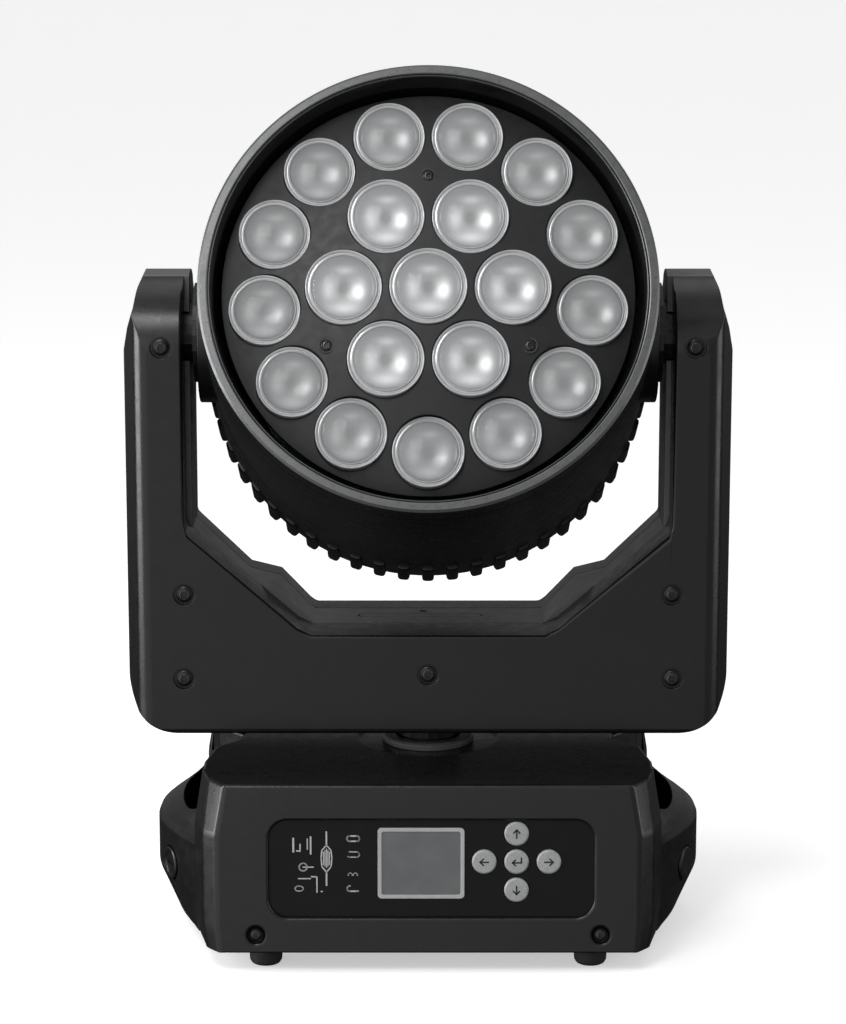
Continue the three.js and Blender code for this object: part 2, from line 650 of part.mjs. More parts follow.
const innerPlaces = () => ringPlaces(RINGS.innerCount, RINGS.inner, 0);
const outerPlaces = () => ringPlaces(RINGS.outerCount, RINGS.outer, -Math.PI / 2);

function lens(radius, x, z, seat) {
  const { proud, deep } = LENS;
  const profile = [[0, proud], [radius * 0.7, proud - 1.8], [radius, 0.5],
    [radius, -deep], [0, -deep]];
  return turned(profile, FEW).translate(x, -seat, 0).translate(0, 0, z);
}

function lensRing(places, radius, circleRadius) {
  const seat = plateAt(circleRadius);
  const back = -seat + LENS.deep;
  const carrier = slabY(circle(circleRadius + 5, LARGE), back - 2, back,
    [circle(circleRadius - 5, ROUND)]);
  return join(carrier, ...places.map(([x, z]) => lens(radius, x, z, seat)));
}

function lensPlate() {
  const steps = [0, 0.6, 1].map((t) => t * PLATE.edge);
  const front = steps.map((r) => [r, plateAt(r)]);
  const back = steps.map((r) => [r, plateAt(r) - PLATE.thickness]).reverse();
  const [outside, behind] = [-FACE.length - 10, -FACE.rear];
  const hole = (radius, x, z) => slabY(circle(radius + GAP, FEW, x, z), outside, behind);
  return cut(turned([...front, ...back], ROUND),
    hole(LENS.centre, 0, 0),
    ...innerPlaces().map(([x, z]) => hole(LENS.inner, x, z)),
    ...outerPlaces().map(([x, z]) => hole(LENS.outer, x, z)));
}

function ribbedBand() {
  const outline = Array.from({ length: 2 * RIBS.count }, (_, i) => {
    const angle = (i * Math.PI) / RIBS.count;
    const radius = i % 2 === 0 ? RIBS.tip : RIBS.root;
    return [radius * Math.cos(angle), radius * Math.sin(angle)];
  });
  return slabY(outline, -RIBS.front, -RIBS.rear, [circle(RIBS.inner, LARGE)]);
}

function heatSink() {
  const { radius, front, plate: root, back, fins: count, pitch, fin } = SINK;
  const plate = slabY(circle(radius), front, root);
  const fins = Array.from({ length: count }, (_, i) => {
    const x = (i - (count - 1) / 2) * pitch;
    const half = Math.sqrt(radius ** 2 - (Math.abs(x) + 2) ** 2);
    return block(x - fin, x + fin, root - 1, back, -half, half);
  });
  return join(plate, ...fins);
}

function fanRotor() {
  const { centre, hubHalf, reach } = FAN;
  const chord = 8.5;
  const pitch = 0.75; // radians
  const hub = slabY(circle(FAN.hub), centre - hubHalf, centre + hubHalf);
  const blades = Array.from({ length: FAN.blades }, (_, i) =>
    block(10, reach, -1, 1, -chord, chord).rotateX(pitch)
      .rotateY((i * 2 * Math.PI) / FAN.blades).translate(0, centre, 0));
  return join(hub, ...blades);
}

function fanGrille() {
  const { front, back, spoke } = GRILLE;
  const rings = GRILLE.rings.map(([r, hole]) =>
    slabY(circle(r), front, back, hole ? [circle(hole)] : []));
  const spokes = [0, 1].map((i) =>
    block(-spoke, spoke, front, back, -1.5, 1.5).rotateY((i * Math.PI) / 2));
  return join(...rings, ...spokes);
}

function shroud() {
  const { front, rear, frontRadius, rearRadius } = SHROUD;
  const skin = turned(closed([[frontRadius, front], [rearRadius, rear],
    [rearRadius - WALL, rear], [frontRadius - WALL, front]]));
  const inside = turned([[0, front + 1], [frontRadius - WALL, front + 1],
    [rearRadius - WALL, rear - 1], [0, rear - 1]]);
  const bosses = [-1, 1].map((side) => {
    const ends = BOSS_REACH.map((x) => side * x).sort((a, b) => a - b);
    return cut(slabX(circle(HUB.boss), ...ends), inside);
  });
  return join(skin, ...bosses);
}

function tiltHub(side) {
  const span = (a, b) => [side * a, side * b].sort((p, q) => p - q);
  const { inner, end } = HUB;
  const pieces = [
    slabX(circle(HUB.flange), ...span(inner, inner + WALL)),
    slabX(circle(HUB.shaft), ...span(inner + 1, end)),
  ];
  if (side > 0) pieces.push(slabX(circle(HUB.nose), ...span(end - 1, TILT_PULLEY.x1 + 2)));
  return cut(join(...pieces), slabX(circle(HUB.bore, SMALL), ...span(inner - 1, ARM_OUTER)));
}

function buildHead(parent) {
  const { length, radius, mouth, throat, rear: backEnd } = FACE;
  const bezel = turned(closed([[mouth, length], [radius - 2, length], [radius, length - 2],
    [radius, SHROUD.front + GAP], [radius - WALL - 0.5, SHROUD.front + GAP],
    [radius - WALL - 0.5, backEnd], [throat, backEnd]]));
  add(parent, 'front_bezel', bezel, FINISH.bezel());
  add(parent, 'head_shroud', shroud(), FINISH.shell());
  add(parent, 'rear_housing', ribbedBand(), FINISH.shell());

  const { front, rear, backRadius, vent } = CAP;
  const cap = turned(closed([[CAP.radius, front], [CAP.radius - 5, front - 16],
    [CAP.radius - 14, front - 27], [backRadius, rear], [vent, rear], [vent, rear + WALL],
    [backRadius - 1, rear + WALL], [CAP.radius - 8, front - 16],
    [CAP.radius - WALL, front]]));
  add(parent, 'rear_cap', cap, FINISH.shell());
  add(parent, 'fan_grille', fanGrille(), FINISH.steel());

  add(parent, 'heat_sink', heatSink(), FINISH.aluminium());
  add(parent, 'led_board', slabY(circle(120), 11.7, 13.7), FINISH.board());
  const frame = slabY(rectangle(0, 0, FAN.frame, FAN.frame, 6, 2), FAN.centre - 13,
    FAN.centre + 12, [circle(FAN.bore)]);
  add(parent, 'fan_frame', frame, FINISH.rubber());
  add(parent, 'fan_rotor', fanRotor(), FINISH.rubber());
  add(parent, 'tilt_hub_left', tiltHub(-1), FINISH.steel());
  add(parent, 'tilt_hub_right', tiltHub(1), FINISH.steel());
  const { driven, x0, x1 } = TILT_PULLEY;
  add(parent, 'tilt_driven_pulley',
    slabX(circle(driven, LARGE), x0, x1, [circle(HUB.nose + GAP)]), FINISH.aluminium());

  ringPlaces(3, ROD.circle, Math.PI / 2).forEach(([x, z], i) => {
    const motor = join(
      slabY(rectangle(x, z, 25, 25, 3, 2), -10, 11.4),
      slabY(circle(6.5, SMALL, x, z), -45, -9));
    const bore = slabY(circle(ROD.radius + GAP, SMALL, x, z), -46, -12);
    add(parent, `zoom_actuator_${i + 1}`, cut(motor, bore), FINISH.motor());
    const rod = slabY(circle(ROD.radius, SMALL, x, z),
      -(plateAt(ROD.circle - ROD.radius) - PLATE.thickness - 1.5), -ROD.rear);
    add(parent, `zoom_rod_${i + 1}`, rod, FINISH.steel());
  });

  add(parent, 'lens_plate', lensPlate(), FINISH.plate());
  add(parent, 'lens_centre', lens(LENS.centre, 0, 0, plateAt(0)), FINISH.lens());
  add(parent, 'lens_inner_ring', lensRing(innerPlaces(), LENS.inner, RINGS.inner), FINISH.lens());
  add(parent, 'lens_outer_ring', lensRing(outerPlaces(), LENS.outer, RINGS.outer), FINISH.lens());
}

// ------------------------------------------------------------------ assembly
const group = new THREE.Group();
const base = new THREE.Group();
const yoke = new THREE.Group();
const head = new THREE.Group();
head.position.set(0, 0, TILT_Z);
head.rotation.x = -HEAD_REST_TILT;
buildBase(base);
buildYoke(yoke);
buildHead(head);
group.add(base, yoke, head);

export default group;
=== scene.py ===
"""The looks of a moving head wash light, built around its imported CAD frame.

Shapes are drawn in millimetres in the frame's own axes: +Z up, -Y towards the front.
Pieces of the head are drawn along its own axis and then tilted with it.
"""
import json
import math

import bmesh
import bpy
from mathutils import Matrix, Vector
from mathutils.geometry import tessellate_polygon


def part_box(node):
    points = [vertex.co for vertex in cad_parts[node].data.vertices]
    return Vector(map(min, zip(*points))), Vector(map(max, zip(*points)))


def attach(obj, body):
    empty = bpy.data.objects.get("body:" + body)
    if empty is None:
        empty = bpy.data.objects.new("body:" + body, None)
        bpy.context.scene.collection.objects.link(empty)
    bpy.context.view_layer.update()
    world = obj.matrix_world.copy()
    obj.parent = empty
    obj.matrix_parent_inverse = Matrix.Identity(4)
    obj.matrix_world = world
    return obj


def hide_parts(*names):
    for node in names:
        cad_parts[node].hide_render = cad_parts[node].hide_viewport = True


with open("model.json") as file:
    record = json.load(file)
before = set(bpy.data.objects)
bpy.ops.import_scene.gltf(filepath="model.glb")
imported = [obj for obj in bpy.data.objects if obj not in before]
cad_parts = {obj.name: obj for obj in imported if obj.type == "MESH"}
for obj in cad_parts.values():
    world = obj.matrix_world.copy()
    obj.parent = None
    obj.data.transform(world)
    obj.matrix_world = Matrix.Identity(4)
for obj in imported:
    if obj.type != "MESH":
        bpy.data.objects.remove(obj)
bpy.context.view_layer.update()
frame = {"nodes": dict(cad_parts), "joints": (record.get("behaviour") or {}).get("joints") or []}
MM = 0.001
TURN = 2 * math.pi

# ---- dimensions
BASE = {"top": 109, "front_low": 118, "front_high": 110, "rear": 116, "shoulder": 76, "wall": 3}
CORNER_Y = 77.2  # where the base's thick corner blocks end
LEAN = math.atan((BASE["front_low"] - BASE["front_high"]) / BASE["top"])
PANEL = {"x": 2, "z": 54.5, "width": 206, "height": 63, "radius": 12, "depth": 3.3}
DISPLAY = {"x": -4.5, "z": 58, "width": 55, "height": 46, "border": 2.5}
KEY = {"radius": 7.8, "x": 56, "z": 59, "pitch": 20.5, "rise": 18.3, "proud": 2.3}
HANDLE = {"inner": 146.3, "bow": 31, "low": 18, "half": 76, "quarter": 80, "wall": 4.2}
SWITCH = {"x": 168.1, "y": -42, "z": 35, "radius": 10.8}
TILT_Z = 379
ROUND_Z = 373
YOKE = {"bottom": 123.5, "saddle": 189.5, "half": 47, "outer": 195, "inner": 152.5,
        "cover_inner": 156, "front": -13.7, "rear": 25, "wall": 3, "chamfer": 4, "corner": 36}
ARM_CROWN = 412  # above this the arms' round tops keep their edges as drawn
BEARING = {"wall": 9.4, "gap": 0.3, "shaft": 20}
SCREW_BORE = 6.9
BEZEL = {"front": 116, "joint": 93.8, "rear": 86, "radius": 142, "mouth": 135, "throat": 130.5}
PLATE = {"crown": 114.8, "drop": 20, "edge": 128, "thickness": 3}
LENS = {"centre": 24, "inner": 23.8, "outer": 22.3}
RINGS = {"inner": 52, "outer": 101.6}
RIBS = {"count": 56, "front": -55.3, "rear": -92, "root": 141.4, "tip": 145.9, "inner": 134}
CAP = {"front": -92.3, "rear": -127}
FAN_Y = 92
REAR_Z = 54  # the height of the fittings on the rear panel
INLET_X, FUSE_X = -72, -26
DATA_X = {"dmx_input": 30, "dmx_output": 70}
PIN_CIRCLE = 4.6
SLOTS = 30
SLOT_TURN = 0.37  # of a pitch; at 0 the bevels of some neighbouring slots run together
FAR = 250  # longer than anything here, for shapes that cut right through

# The head's own frame: its axis is local -Y, and it is tilted about the yoke's axis.
HEAD_AXIS = Vector(next(j["axis"] for j in frame["joints"] if j["name"] == "zoom_slide"))
HEAD_TILT = math.atan2(HEAD_AXIS.z, -HEAD_AXIS.y)
HEAD = Matrix.Translation((0, 0, TILT_Z * MM)) @ Matrix.Rotation(-HEAD_TILT, 4, "X")
FACE = Matrix.Translation((0, -BASE["front_low"] * MM, 0)) @ Matrix.Rotation(-LEAN, 4, "X")
WORLD = Matrix.Identity(4)


# ---- camera
def make_camera():
    data = bpy.data.cameras.new("camera")
    data.sensor_width = 36
    data.lens = 129.66
    data.clip_end = 100
    camera = bpy.data.objects.new("camera", data)
    camera.location = Vector((-3.3, -2338.5, 800.3)) * MM
    camera.rotation_euler = (math.radians(90 - 13), 0, 0)
    bpy.context.scene.collection.objects.link(camera)
    bpy.context.scene.camera = camera


# ---- outlines
def arc(cx, cy, radius, start, end, steps):
    return [(cx + radius * math.cos(start + (end - start) * i / steps),
             cy + radius * math.sin(start + (end - start) * i / steps)) for i in range(steps + 1)]


def circle(radius, cx=0, cy=0, sides=48):
    return arc(cx, cy, radius, 0, TURN, sides)[:-1]


def rectangle(x, y, width, height, radius, steps=8):
    w, h = width / 2 - radius, height / 2 - radius
    corners = [(w, h), (-w, h), (-w, -h), (w, -h)]
    return [p for i, (u, v) in enumerate(corners)
            for p in arc(x + u, y + v, radius, i * TURN / 4, (i + 1) * TURN / 4, steps)]


def mirrored(right):
    return right + [(-x, y) for x, y in reversed(right)]


def fillet(outline, radii, steps=4):
    """Round the corners of a closed outline; radii is one number or one for each corner."""
    n = len(outline)
    radii = [radii] * n if isinstance(radii, (int, float)) else radii
    result = []
    for i, radius in enumerate(radii):
        here = Vector(outline[i])
        before, after = Vector(outline[i - 1]) - here, Vector(outline[(i + 1) % n]) - here
        half = before.angle(after) / 2
        if radius == 0 or half > math.radians(89.5):
            result += [tuple(here)] * (steps + 1 if radius else 1)
            continue
        reach = min(radius / math.tan(half), 0.48 * before.length, 0.48 * after.length)
        start, end = here + before.normalized() * reach, here + after.normalized() * reach
        for k in range(steps + 1):
            t = k / steps
            bent = start * (1 - t) ** 2 + here * 2 * t * (1 - t) + end * t ** 2
            result.append(tuple(bent))
    return result


def inset(outline, distance):
    """Move each edge of an anticlockwise outline inwards."""
    n = len(outline)
    lines = []
    for i, point in enumerate(outline):
        a, b = Vector(point), Vector(outline[(i + 1) % n])
        along = b - a
        lines.append((a + Vector((-along.y, along.x)).normalized() * distance, along))
    result = []
    for i, (start, along) in enumerate(lines):
        origin, before = lines[i - 1]
        cross = before.x * along.y - before.y * along.x
        gap = start - origin
        t = (gap.x * along.y - gap.y * along.x) / cross if abs(cross) > 1e-9 else 1
        result.append(tuple(origin + before * t))
    return result


# ---- meshes
def build(points, faces):
    """A mesh from points in millimetres, with its faces outwards."""
    mesh = bpy.data.meshes.new("part")
    mesh.from_pydata([Vector(p) * MM for p in points], [], faces)
    form = bmesh.new()
    form.from_mesh(mesh)
    bmesh.ops.remove_doubles(form, verts=form.verts, dist=1e-7)
    bmesh.ops.recalc_face_normals(form, faces=form.faces)
    form.to_mesh(mesh)
    form.free()
    return mesh


PLACE = {"x": lambda a, b, h: (h, a, b), "y": lambda a, b, h: (a, h, b),
         "z": lambda a, b, h: (a, b, h)}


def prism(outline, low, high, axis="z", holes=()):
    loops = [outline, *holes]
    flat = [p for loop in loops for p in loop]
    n = len(flat)
    place = PLACE[axis]
    points = [place(*p, low) for p in flat] + [place(*p, high) for p in flat]
    caps = [tuple(range(n))]
    if holes:
        caps = tessellate_polygon([[Vector((*p, 0)) for p in loop] for loop in loops])
    faces = [tuple(c) for c in caps] + [tuple(i + n for i in c) for c in caps]
    start = 0
    for loop in loops:
        size = len(loop)
        for i in range(size):
            a, b = start + i, start + (i + 1) % size
            faces.append((a, b, b + n, a + n))
        start += size
    return build(points, faces)


def loft(rings):
    n = len(rings[0])
    points = [p for ring in rings for p in ring]
    faces = [tuple(range(n)), tuple(range(len(points) - n, len(points)))]
    for k in range(len(rings) - 1):
        for i in range(n):
            a, b = k * n + i, k * n + (i + 1) % n
            faces.append((a, b, b + n, a + n))
    return build(points, faces)


def turned(profile, sides=96, centre=(0, 0), axis="y"):
    """Turn a closed profile of (radius, place) about an axis; along y the place is towards -Y."""
    sign = -1 if axis == "y" else 1
    place = PLACE[axis]
    points = []
    for i in range(sides):
        a = TURN * i / sides
        points += [place(centre[0] + r * math.cos(a), centre[1] + r * math.sin(a), sign * h)
                   for r, h in profile]
    n = len(profile)
    faces = []
    for i in range(sides):
        for k in range(n):
            a, b = i * n + k, i * n + (k + 1) % n
            c, d = ((i + 1) % sides) * n + (k + 1) % n, ((i + 1) % sides) * n + k
            faces.append((a, b, c, d))
    return build(points, faces)


def moved(mesh, matrix):
    mesh.transform(matrix)
    if matrix.is_negative:
        mesh.flip_normals()
    return mesh


def at(x=0, y=0, z=0):
    return Matrix.Translation(Vector((x, y, z)) * MM)


def joined(*meshes):
    form = bmesh.new()
    for mesh in meshes:
        form.from_mesh(mesh)
    result = bpy.data.meshes.new("part")
    form.to_mesh(result)
    form.free()
    return result


def copies(mesh, places):
    return joined(*[moved(mesh.copy(), place) for place in places])


def boolean(mesh, how, *tools):
    holder = bpy.data.objects.new("holder", mesh)
    helpers = [bpy.data.objects.new("helper", tool) for tool in tools]
    for thing in (holder, *helpers):
        bpy.context.scene.collection.objects.link(thing)
    for helper in helpers:
        step = holder.modifiers.new("step", "BOOLEAN")
        step.operation = how
        step.solver = "EXACT"
        step.object = helper
    bpy.context.view_layer.update()
    state = bpy.context.evaluated_depsgraph_get()
    result = bpy.data.meshes.new_from_object(holder.evaluated_get(state))
    for thing in (holder, *helpers):
        bpy.data.objects.remove(thing)
    return result


def cut(mesh, *tools):
    return boolean(mesh, "DIFFERENCE", *tools)


def common(mesh, *tools):
    return boolean(mesh, "INTERSECT", *tools)


def union(mesh, *tools):
    return boolean(mesh, "UNION", *tools)


def softened(mesh, width, share=None, segments=3, angle=22):
    """Round the edges sharper than an angle. share(middle in mm, direction) scales the width."""
    form = bmesh.new()
    form.from_mesh(mesh)
    bmesh.ops.remove_doubles(form, verts=form.verts, dist=5e-6)
    bmesh.ops.dissolve_limit(form, angle_limit=math.radians(0.6), verts=form.verts,
                             edges=form.edges)
    weight = form.edges.layers.float.new("bevel_weight_edge")
    for edge in form.edges:
        if len(edge.link_faces) != 2 or edge.calc_face_angle(0) < math.radians(angle):
            continue
        middle = (edge.verts[0].co + edge.verts[1].co) / 2 / MM
        run = (edge.verts[0].co - edge.verts[1].co).normalized()
        edge[weight] = share(middle, run) if share else 1
    result = bpy.data.meshes.new("part")
    form.to_mesh(result)
    form.free()
    holder = bpy.data.objects.new("holder", result)
    bpy.context.scene.collection.objects.link(holder)
    bevel = holder.modifiers.new("bevel", "BEVEL")
    bevel.limit_method = "WEIGHT"
    bevel.width = width * MM
    bevel.segments = segments
    bevel.use_clamp_overlap = False
    bevel.miter_outer = "MITER_ARC"
    bpy.context.view_layer.update()
    state = bpy.context.evaluated_depsgraph_get()
    final = bpy.data.meshes.new_from_object(holder.evaluated_get(state))
    bpy.data.objects.remove(holder)
    return final


def eased(mesh, width):
    """Round only the square edges of a small flat part."""
    return softened(mesh, width, None, 2, 60)


def piece(name, parts, body, replaces=(), matrix=WORLD, angle=38):
    """One named object from (mesh, material) parts, riding on a body."""
    form = bmesh.new()
    materials = []
    for mesh, material in parts:
        if material not in materials:
            materials.append(material)
        start = len(form.faces)
        form.from_mesh(mesh)
        form.faces.ensure_lookup_table()
        for face in form.faces[start:]:
            face.material_index = materials.index(material)
            face.smooth = True
    mesh = bpy.data.meshes.new(name)
    form.to_mesh(mesh)
    form.free()
    for material in materials:
        mesh.materials.append(material)
    mesh.set_sharp_from_angle(angle=math.radians(angle))
    obj = bpy.data.objects.new(name, mesh)
    obj.matrix_world = matrix
    bpy.context.scene.collection.objects.link(obj)
    normals = obj.modifiers.new("normals", "WEIGHTED_NORMAL")
    normals.keep_sharp = True
    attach(obj, body)
    if replaces:
        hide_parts(*replaces)
    return obj


# ---- materials
def rgba(colour):
    """A shader colour from (r, g, b) or from one grey."""
    return (*colour, 1) if isinstance(colour, tuple) else (colour, colour, colour, 1)


class Finish:
    """A procedural material, built up in steps on one Principled shader."""

    def __init__(self, name, colour, roughness, metallic=0.0, **sockets):
        self.material = bpy.data.materials.new(name)
        self.material.use_nodes = True
        self.tree = self.material.node_tree
        self.shader = self.tree.nodes["Principled BSDF"]
        self.colour = rgba(colour)
        self.roughness = roughness
        self.shader.inputs["Base Color"].default_value = self.colour
        self.shader.inputs["Roughness"].default_value = roughness
        self.shader.inputs["Metallic"].default_value = metallic
        for socket, value in sockets.items():
            self.shader.inputs[socket.replace("_", " ")].default_value = value
        self.coords = self.node("ShaderNodeTexCoord").outputs["Object"]
        self.height = None

    def node(self, kind, **values):
        node = self.tree.nodes.new(kind)
        for key, value in values.items():
            setattr(node, key, value)
        return node

    def link(self, source, target):
        self.tree.links.new(source, target)

    def noise(self, size_mm, detail=3.0, stretch=(1, 1, 1)):
        mapping = self.node("ShaderNodeMapping")
        mapping.inputs["Scale"].default_value = stretch
        self.link(self.coords, mapping.inputs["Vector"])
        noise = self.node("ShaderNodeTexNoise")
        noise.inputs["Scale"].default_value = 1 / (size_mm * MM)
        noise.inputs["Detail"].default_value = detail
        self.link(mapping.outputs["Vector"], noise.inputs["Vector"])
        return noise.outputs["Fac"]

    def spread(self, source, low, high, start=0.3, end=0.7):
        ranged = self.node("ShaderNodeMapRange")
        for key, value in zip(("From Min", "From Max", "To Min", "To Max"),
                              (start, end, low, high)):
            ranged.inputs[key].default_value = value
        self.link(source, ranged.inputs["Value"])
        return ranged.outputs["Result"]

    def tint(self, source, shade):
        """Blend towards another colour where source is high."""
        mix = self.node("ShaderNodeMix", data_type="RGBA")
        socket = self.shader.inputs["Base Color"]
        if socket.is_linked:
            self.link(socket.links[0].from_socket, mix.inputs["A"])
        else:
            mix.inputs["A"].default_value = self.colour
        mix.inputs["B"].default_value = rgba(shade)
        self.link(source, mix.inputs["Factor"])
        self.link(mix.outputs["Result"], socket)
        return self

    def mottle(self, size_mm, shade, amount):
        return self.tint(self.spread(self.noise(size_mm), 0, amount), shade)

    def worn(self, shade, amount):
        """Rub the raised edges a little lighter."""
        edge = self.node("ShaderNodeNewGeometry").outputs["Pointiness"]
        return self.tint(self.spread(edge, 0, amount, 0.52, 0.60), shade)

    def smudged(self, size_mm, change):
        low, high = self.roughness - change, self.roughness + change
        self.link(self.spread(self.noise(size_mm, 4), low, high), self.shader.inputs["Roughness"])
        return self

    def grained(self, size_mm, strength, distance_mm, stretch=(1, 1, 1)):
        bump = self.node("ShaderNodeBump")
        bump.inputs["Strength"].default_value = strength
        bump.inputs["Distance"].default_value = distance_mm * MM
        self.link(self.noise(size_mm, 2, stretch), bump.inputs["Height"])
        if self.height:
            self.link(self.height, bump.inputs["Normal"])
        self.height = bump.outputs["Normal"]
        self.link(self.height, self.shader.inputs["Normal"])
        return self

    def brushed_round(self, strength, distance_mm):
        """Fine circular brush marks about the local Y axis."""
        split = self.node("ShaderNodeSeparateXYZ")
        self.link(self.coords, split.inputs["Vector"])
        flat = self.node("ShaderNodeCombineXYZ")
        self.link(split.outputs["X"], flat.inputs["X"])
        self.link(split.outputs["Z"], flat.inputs["Z"])
        far = self.node("ShaderNodeVectorMath", operation="LENGTH")
        self.link(flat.outputs["Vector"], far.inputs[0])
        lines = self.node("ShaderNodeTexNoise", noise_dimensions="1D")
        lines.inputs["Scale"].default_value = 1 / (0.25 * MM)
        self.link(far.outputs["Value"], lines.inputs["W"])
        bump = self.node("ShaderNodeBump")
        bump.inputs["Strength"].default_value = strength
        bump.inputs["Distance"].default_value = distance_mm * MM
        self.link(lines.outputs["Fac"], bump.inputs["Height"])
        self.height = bump.outputs["Normal"]
        self.link(self.height, self.shader.inputs["Normal"])
        return self


def casing_finish(name, shade, roughness):
    finish = Finish(name, shade, roughness)
    finish.mottle(26, 1.5 * shade, 0.5)
    finish.smudged(9, 0.05).grained(0.9, 0.25, 0.06).grained(0.3, 0.2, 0.03)
    return finish.material


def bowl_painted_highlight_finish(name, share):
    """A milky reflector with painted highlights: pale lobes left, right and below a greyer square middle
    stand in for the lamps' light refracted in the lens; share scales the whole colour.
    """
    def shade(grey):
        return tuple(grey * share * tone for tone in (0.99, 1, 1.01))

    falls_to = 0.37  # a spot's share at its own half width
    bowl = Finish(name, shade(0.1), 0.24, 0.1)
    split = bowl.node("ShaderNodeSeparateXYZ")
    bowl.link(bowl.coords, split.inputs["Vector"])

    def lobe(x, z, wide, high, sided):
        """A soft spot at (x, z) millimetres; sided repeats it on the other side."""
        squares = []
        for axis, place, size in (("X", x, wide), ("Z", z, high)):
            value = split.outputs[axis]
            if sided and axis == "X":
                mirror = bowl.node("ShaderNodeMath", operation="ABSOLUTE")
                bowl.link(value, mirror.inputs[0])
                value = mirror.outputs[0]
            scaled = bowl.spread(value, -4, 4, (place - 4 * size) * MM, (place + 4 * size) * MM)
            square = bowl.node("ShaderNodeMath", operation="MULTIPLY")
            bowl.link(scaled, square.inputs[0])
            bowl.link(scaled, square.inputs[1])
            squares.append(square.outputs[0])
        total = bowl.node("ShaderNodeMath", operation="ADD")
        for place, source in enumerate(squares):
            bowl.link(source, total.inputs[place])
        fall = bowl.node("ShaderNodeMath", operation="POWER")
        fall.inputs[0].default_value = falls_to
        bowl.link(total.outputs[0], fall.inputs[1])
        return fall.outputs[0]

    # painted highlights: soft pale spots in the bowl's colour where the lamps' light shows through the
    # lens; the last step greys the middle
    bowl.tint(lobe(0, -2, 15, 14, False), shade(0.42))
    bowl.tint(lobe(9.5, -0.5, 4, 6.5, True), shade(1))
    bowl.tint(lobe(0, -12, 9, 4, False), shade(0.98))
    bowl.tint(lobe(0, 12, 6, 2.5, False), shade(0.7))
    bowl.tint(bowl.spread(lobe(0, 1, 4.5, 5.5, False), 0, 0.85, 0.15, 0.8), shade(0.1))
    return bowl.smudged(6, 0.04).material


def finished(name, colour, roughness, spots, gloss=None, grain=None, metallic=0.0, **sockets):
    """A finish from spots (mm, colour, amount), gloss (mm, change) and grain (mm, strength, mm)."""
    finish = Finish(name, colour, roughness, metallic, **sockets).mottle(*spots)
    if gloss:
        finish.smudged(*gloss)
    if grain:
        finish.grained(*grain)
    return finish.material


def lens_finishes():
    return {
        "rim": finished("lens_rim", (0.5, 0.51, 0.52), 0.2, (5, (0.42, 0.43, 0.44), 0.6),
                        (4, 0.04), None, 0.3, Coat_Weight=0.5, Coat_Roughness=0.05),
        "bowl": bowl_painted_highlight_finish("lens_bowl", 1.0),
        # painted shade: the outer ring's bowls take the same finish at half brightness, as they fall
        # darker
        "shaded_outer_bowl": bowl_painted_highlight_finish("lens_bowl_outer_painted_shade", 0.5),
        "glass": finished("lens_clear", (0.9, 0.92, 0.93), 0.05, (9, 1, 0.4), Alpha=0.14, IOR=1.5),
    }


def panel_finishes():
    return {
        "panel": finished("panel_black", 0.004, 0.3, (12, (0.006, 0.006, 0.0065), 0.5), (7, 0.04),
                          (0.5, 0.1, 0.02), Specular_IOR_Level=0.2),
        "key": finished("key_grey", (0.42, 0.43, 0.43), 0.38, (1.6, (0.3, 0.31, 0.31), 0.7),
                        (2, 0.05), (0.5, 0.3, 0.04), 0.1),
        "mark": finished("mark_black", 0.012, 0.5, (1, 0.02, 0.5)),
        "print": finished("print_grey", (0.56, 0.57, 0.57), 0.5, (3, 0.46, 0.6)),
        "border": finished("display_border", (0.46, 0.47, 0.47), 0.4, (4, (0.38, 0.39, 0.39), 0.5),
                           (3, 0.05)),
        "screen": finished("display_screen", (0.105, 0.112, 0.115), 0.24,
                           (18, (0.135, 0.142, 0.145), 0.8), (10, 0.03), Coat_Weight=0.4,
                           Coat_Roughness=0.05),
    }


def metal_finishes():
    return {
        "sheet": finished("sheet_black", 0.02, 0.5, (9, (0.035, 0.035, 0.036), 0.6), (5, 0.06),
                          (1.2, 0.3, 0.06), 0.1),
        "steel": finished("steel_plain", (0.45, 0.45, 0.46), 0.3, (3, (0.3, 0.3, 0.31), 0.6),
                          (2, 0.08), (0.5, 0.15, 0.03, (1, 8, 1)), 1.0),
        "dark_steel": finished("steel_blackened", (0.03, 0.03, 0.032), 0.35, (4, 0.06, 0.6),
                               (3, 0.06), None, 0.8),
        "alloy": finished("aluminium_plain", (0.62, 0.62, 0.64), 0.36, (5, (0.5, 0.5, 0.51), 0.6),
                          (3, 0.07), (0.4, 0.15, 0.03, (8, 1, 1)), 1.0),
        "contact": finished("contact_plated", (0.75, 0.7, 0.55), 0.25,
                            (1.5, (0.6, 0.56, 0.45), 0.6), (1, 0.06), None, 1.0),
    }


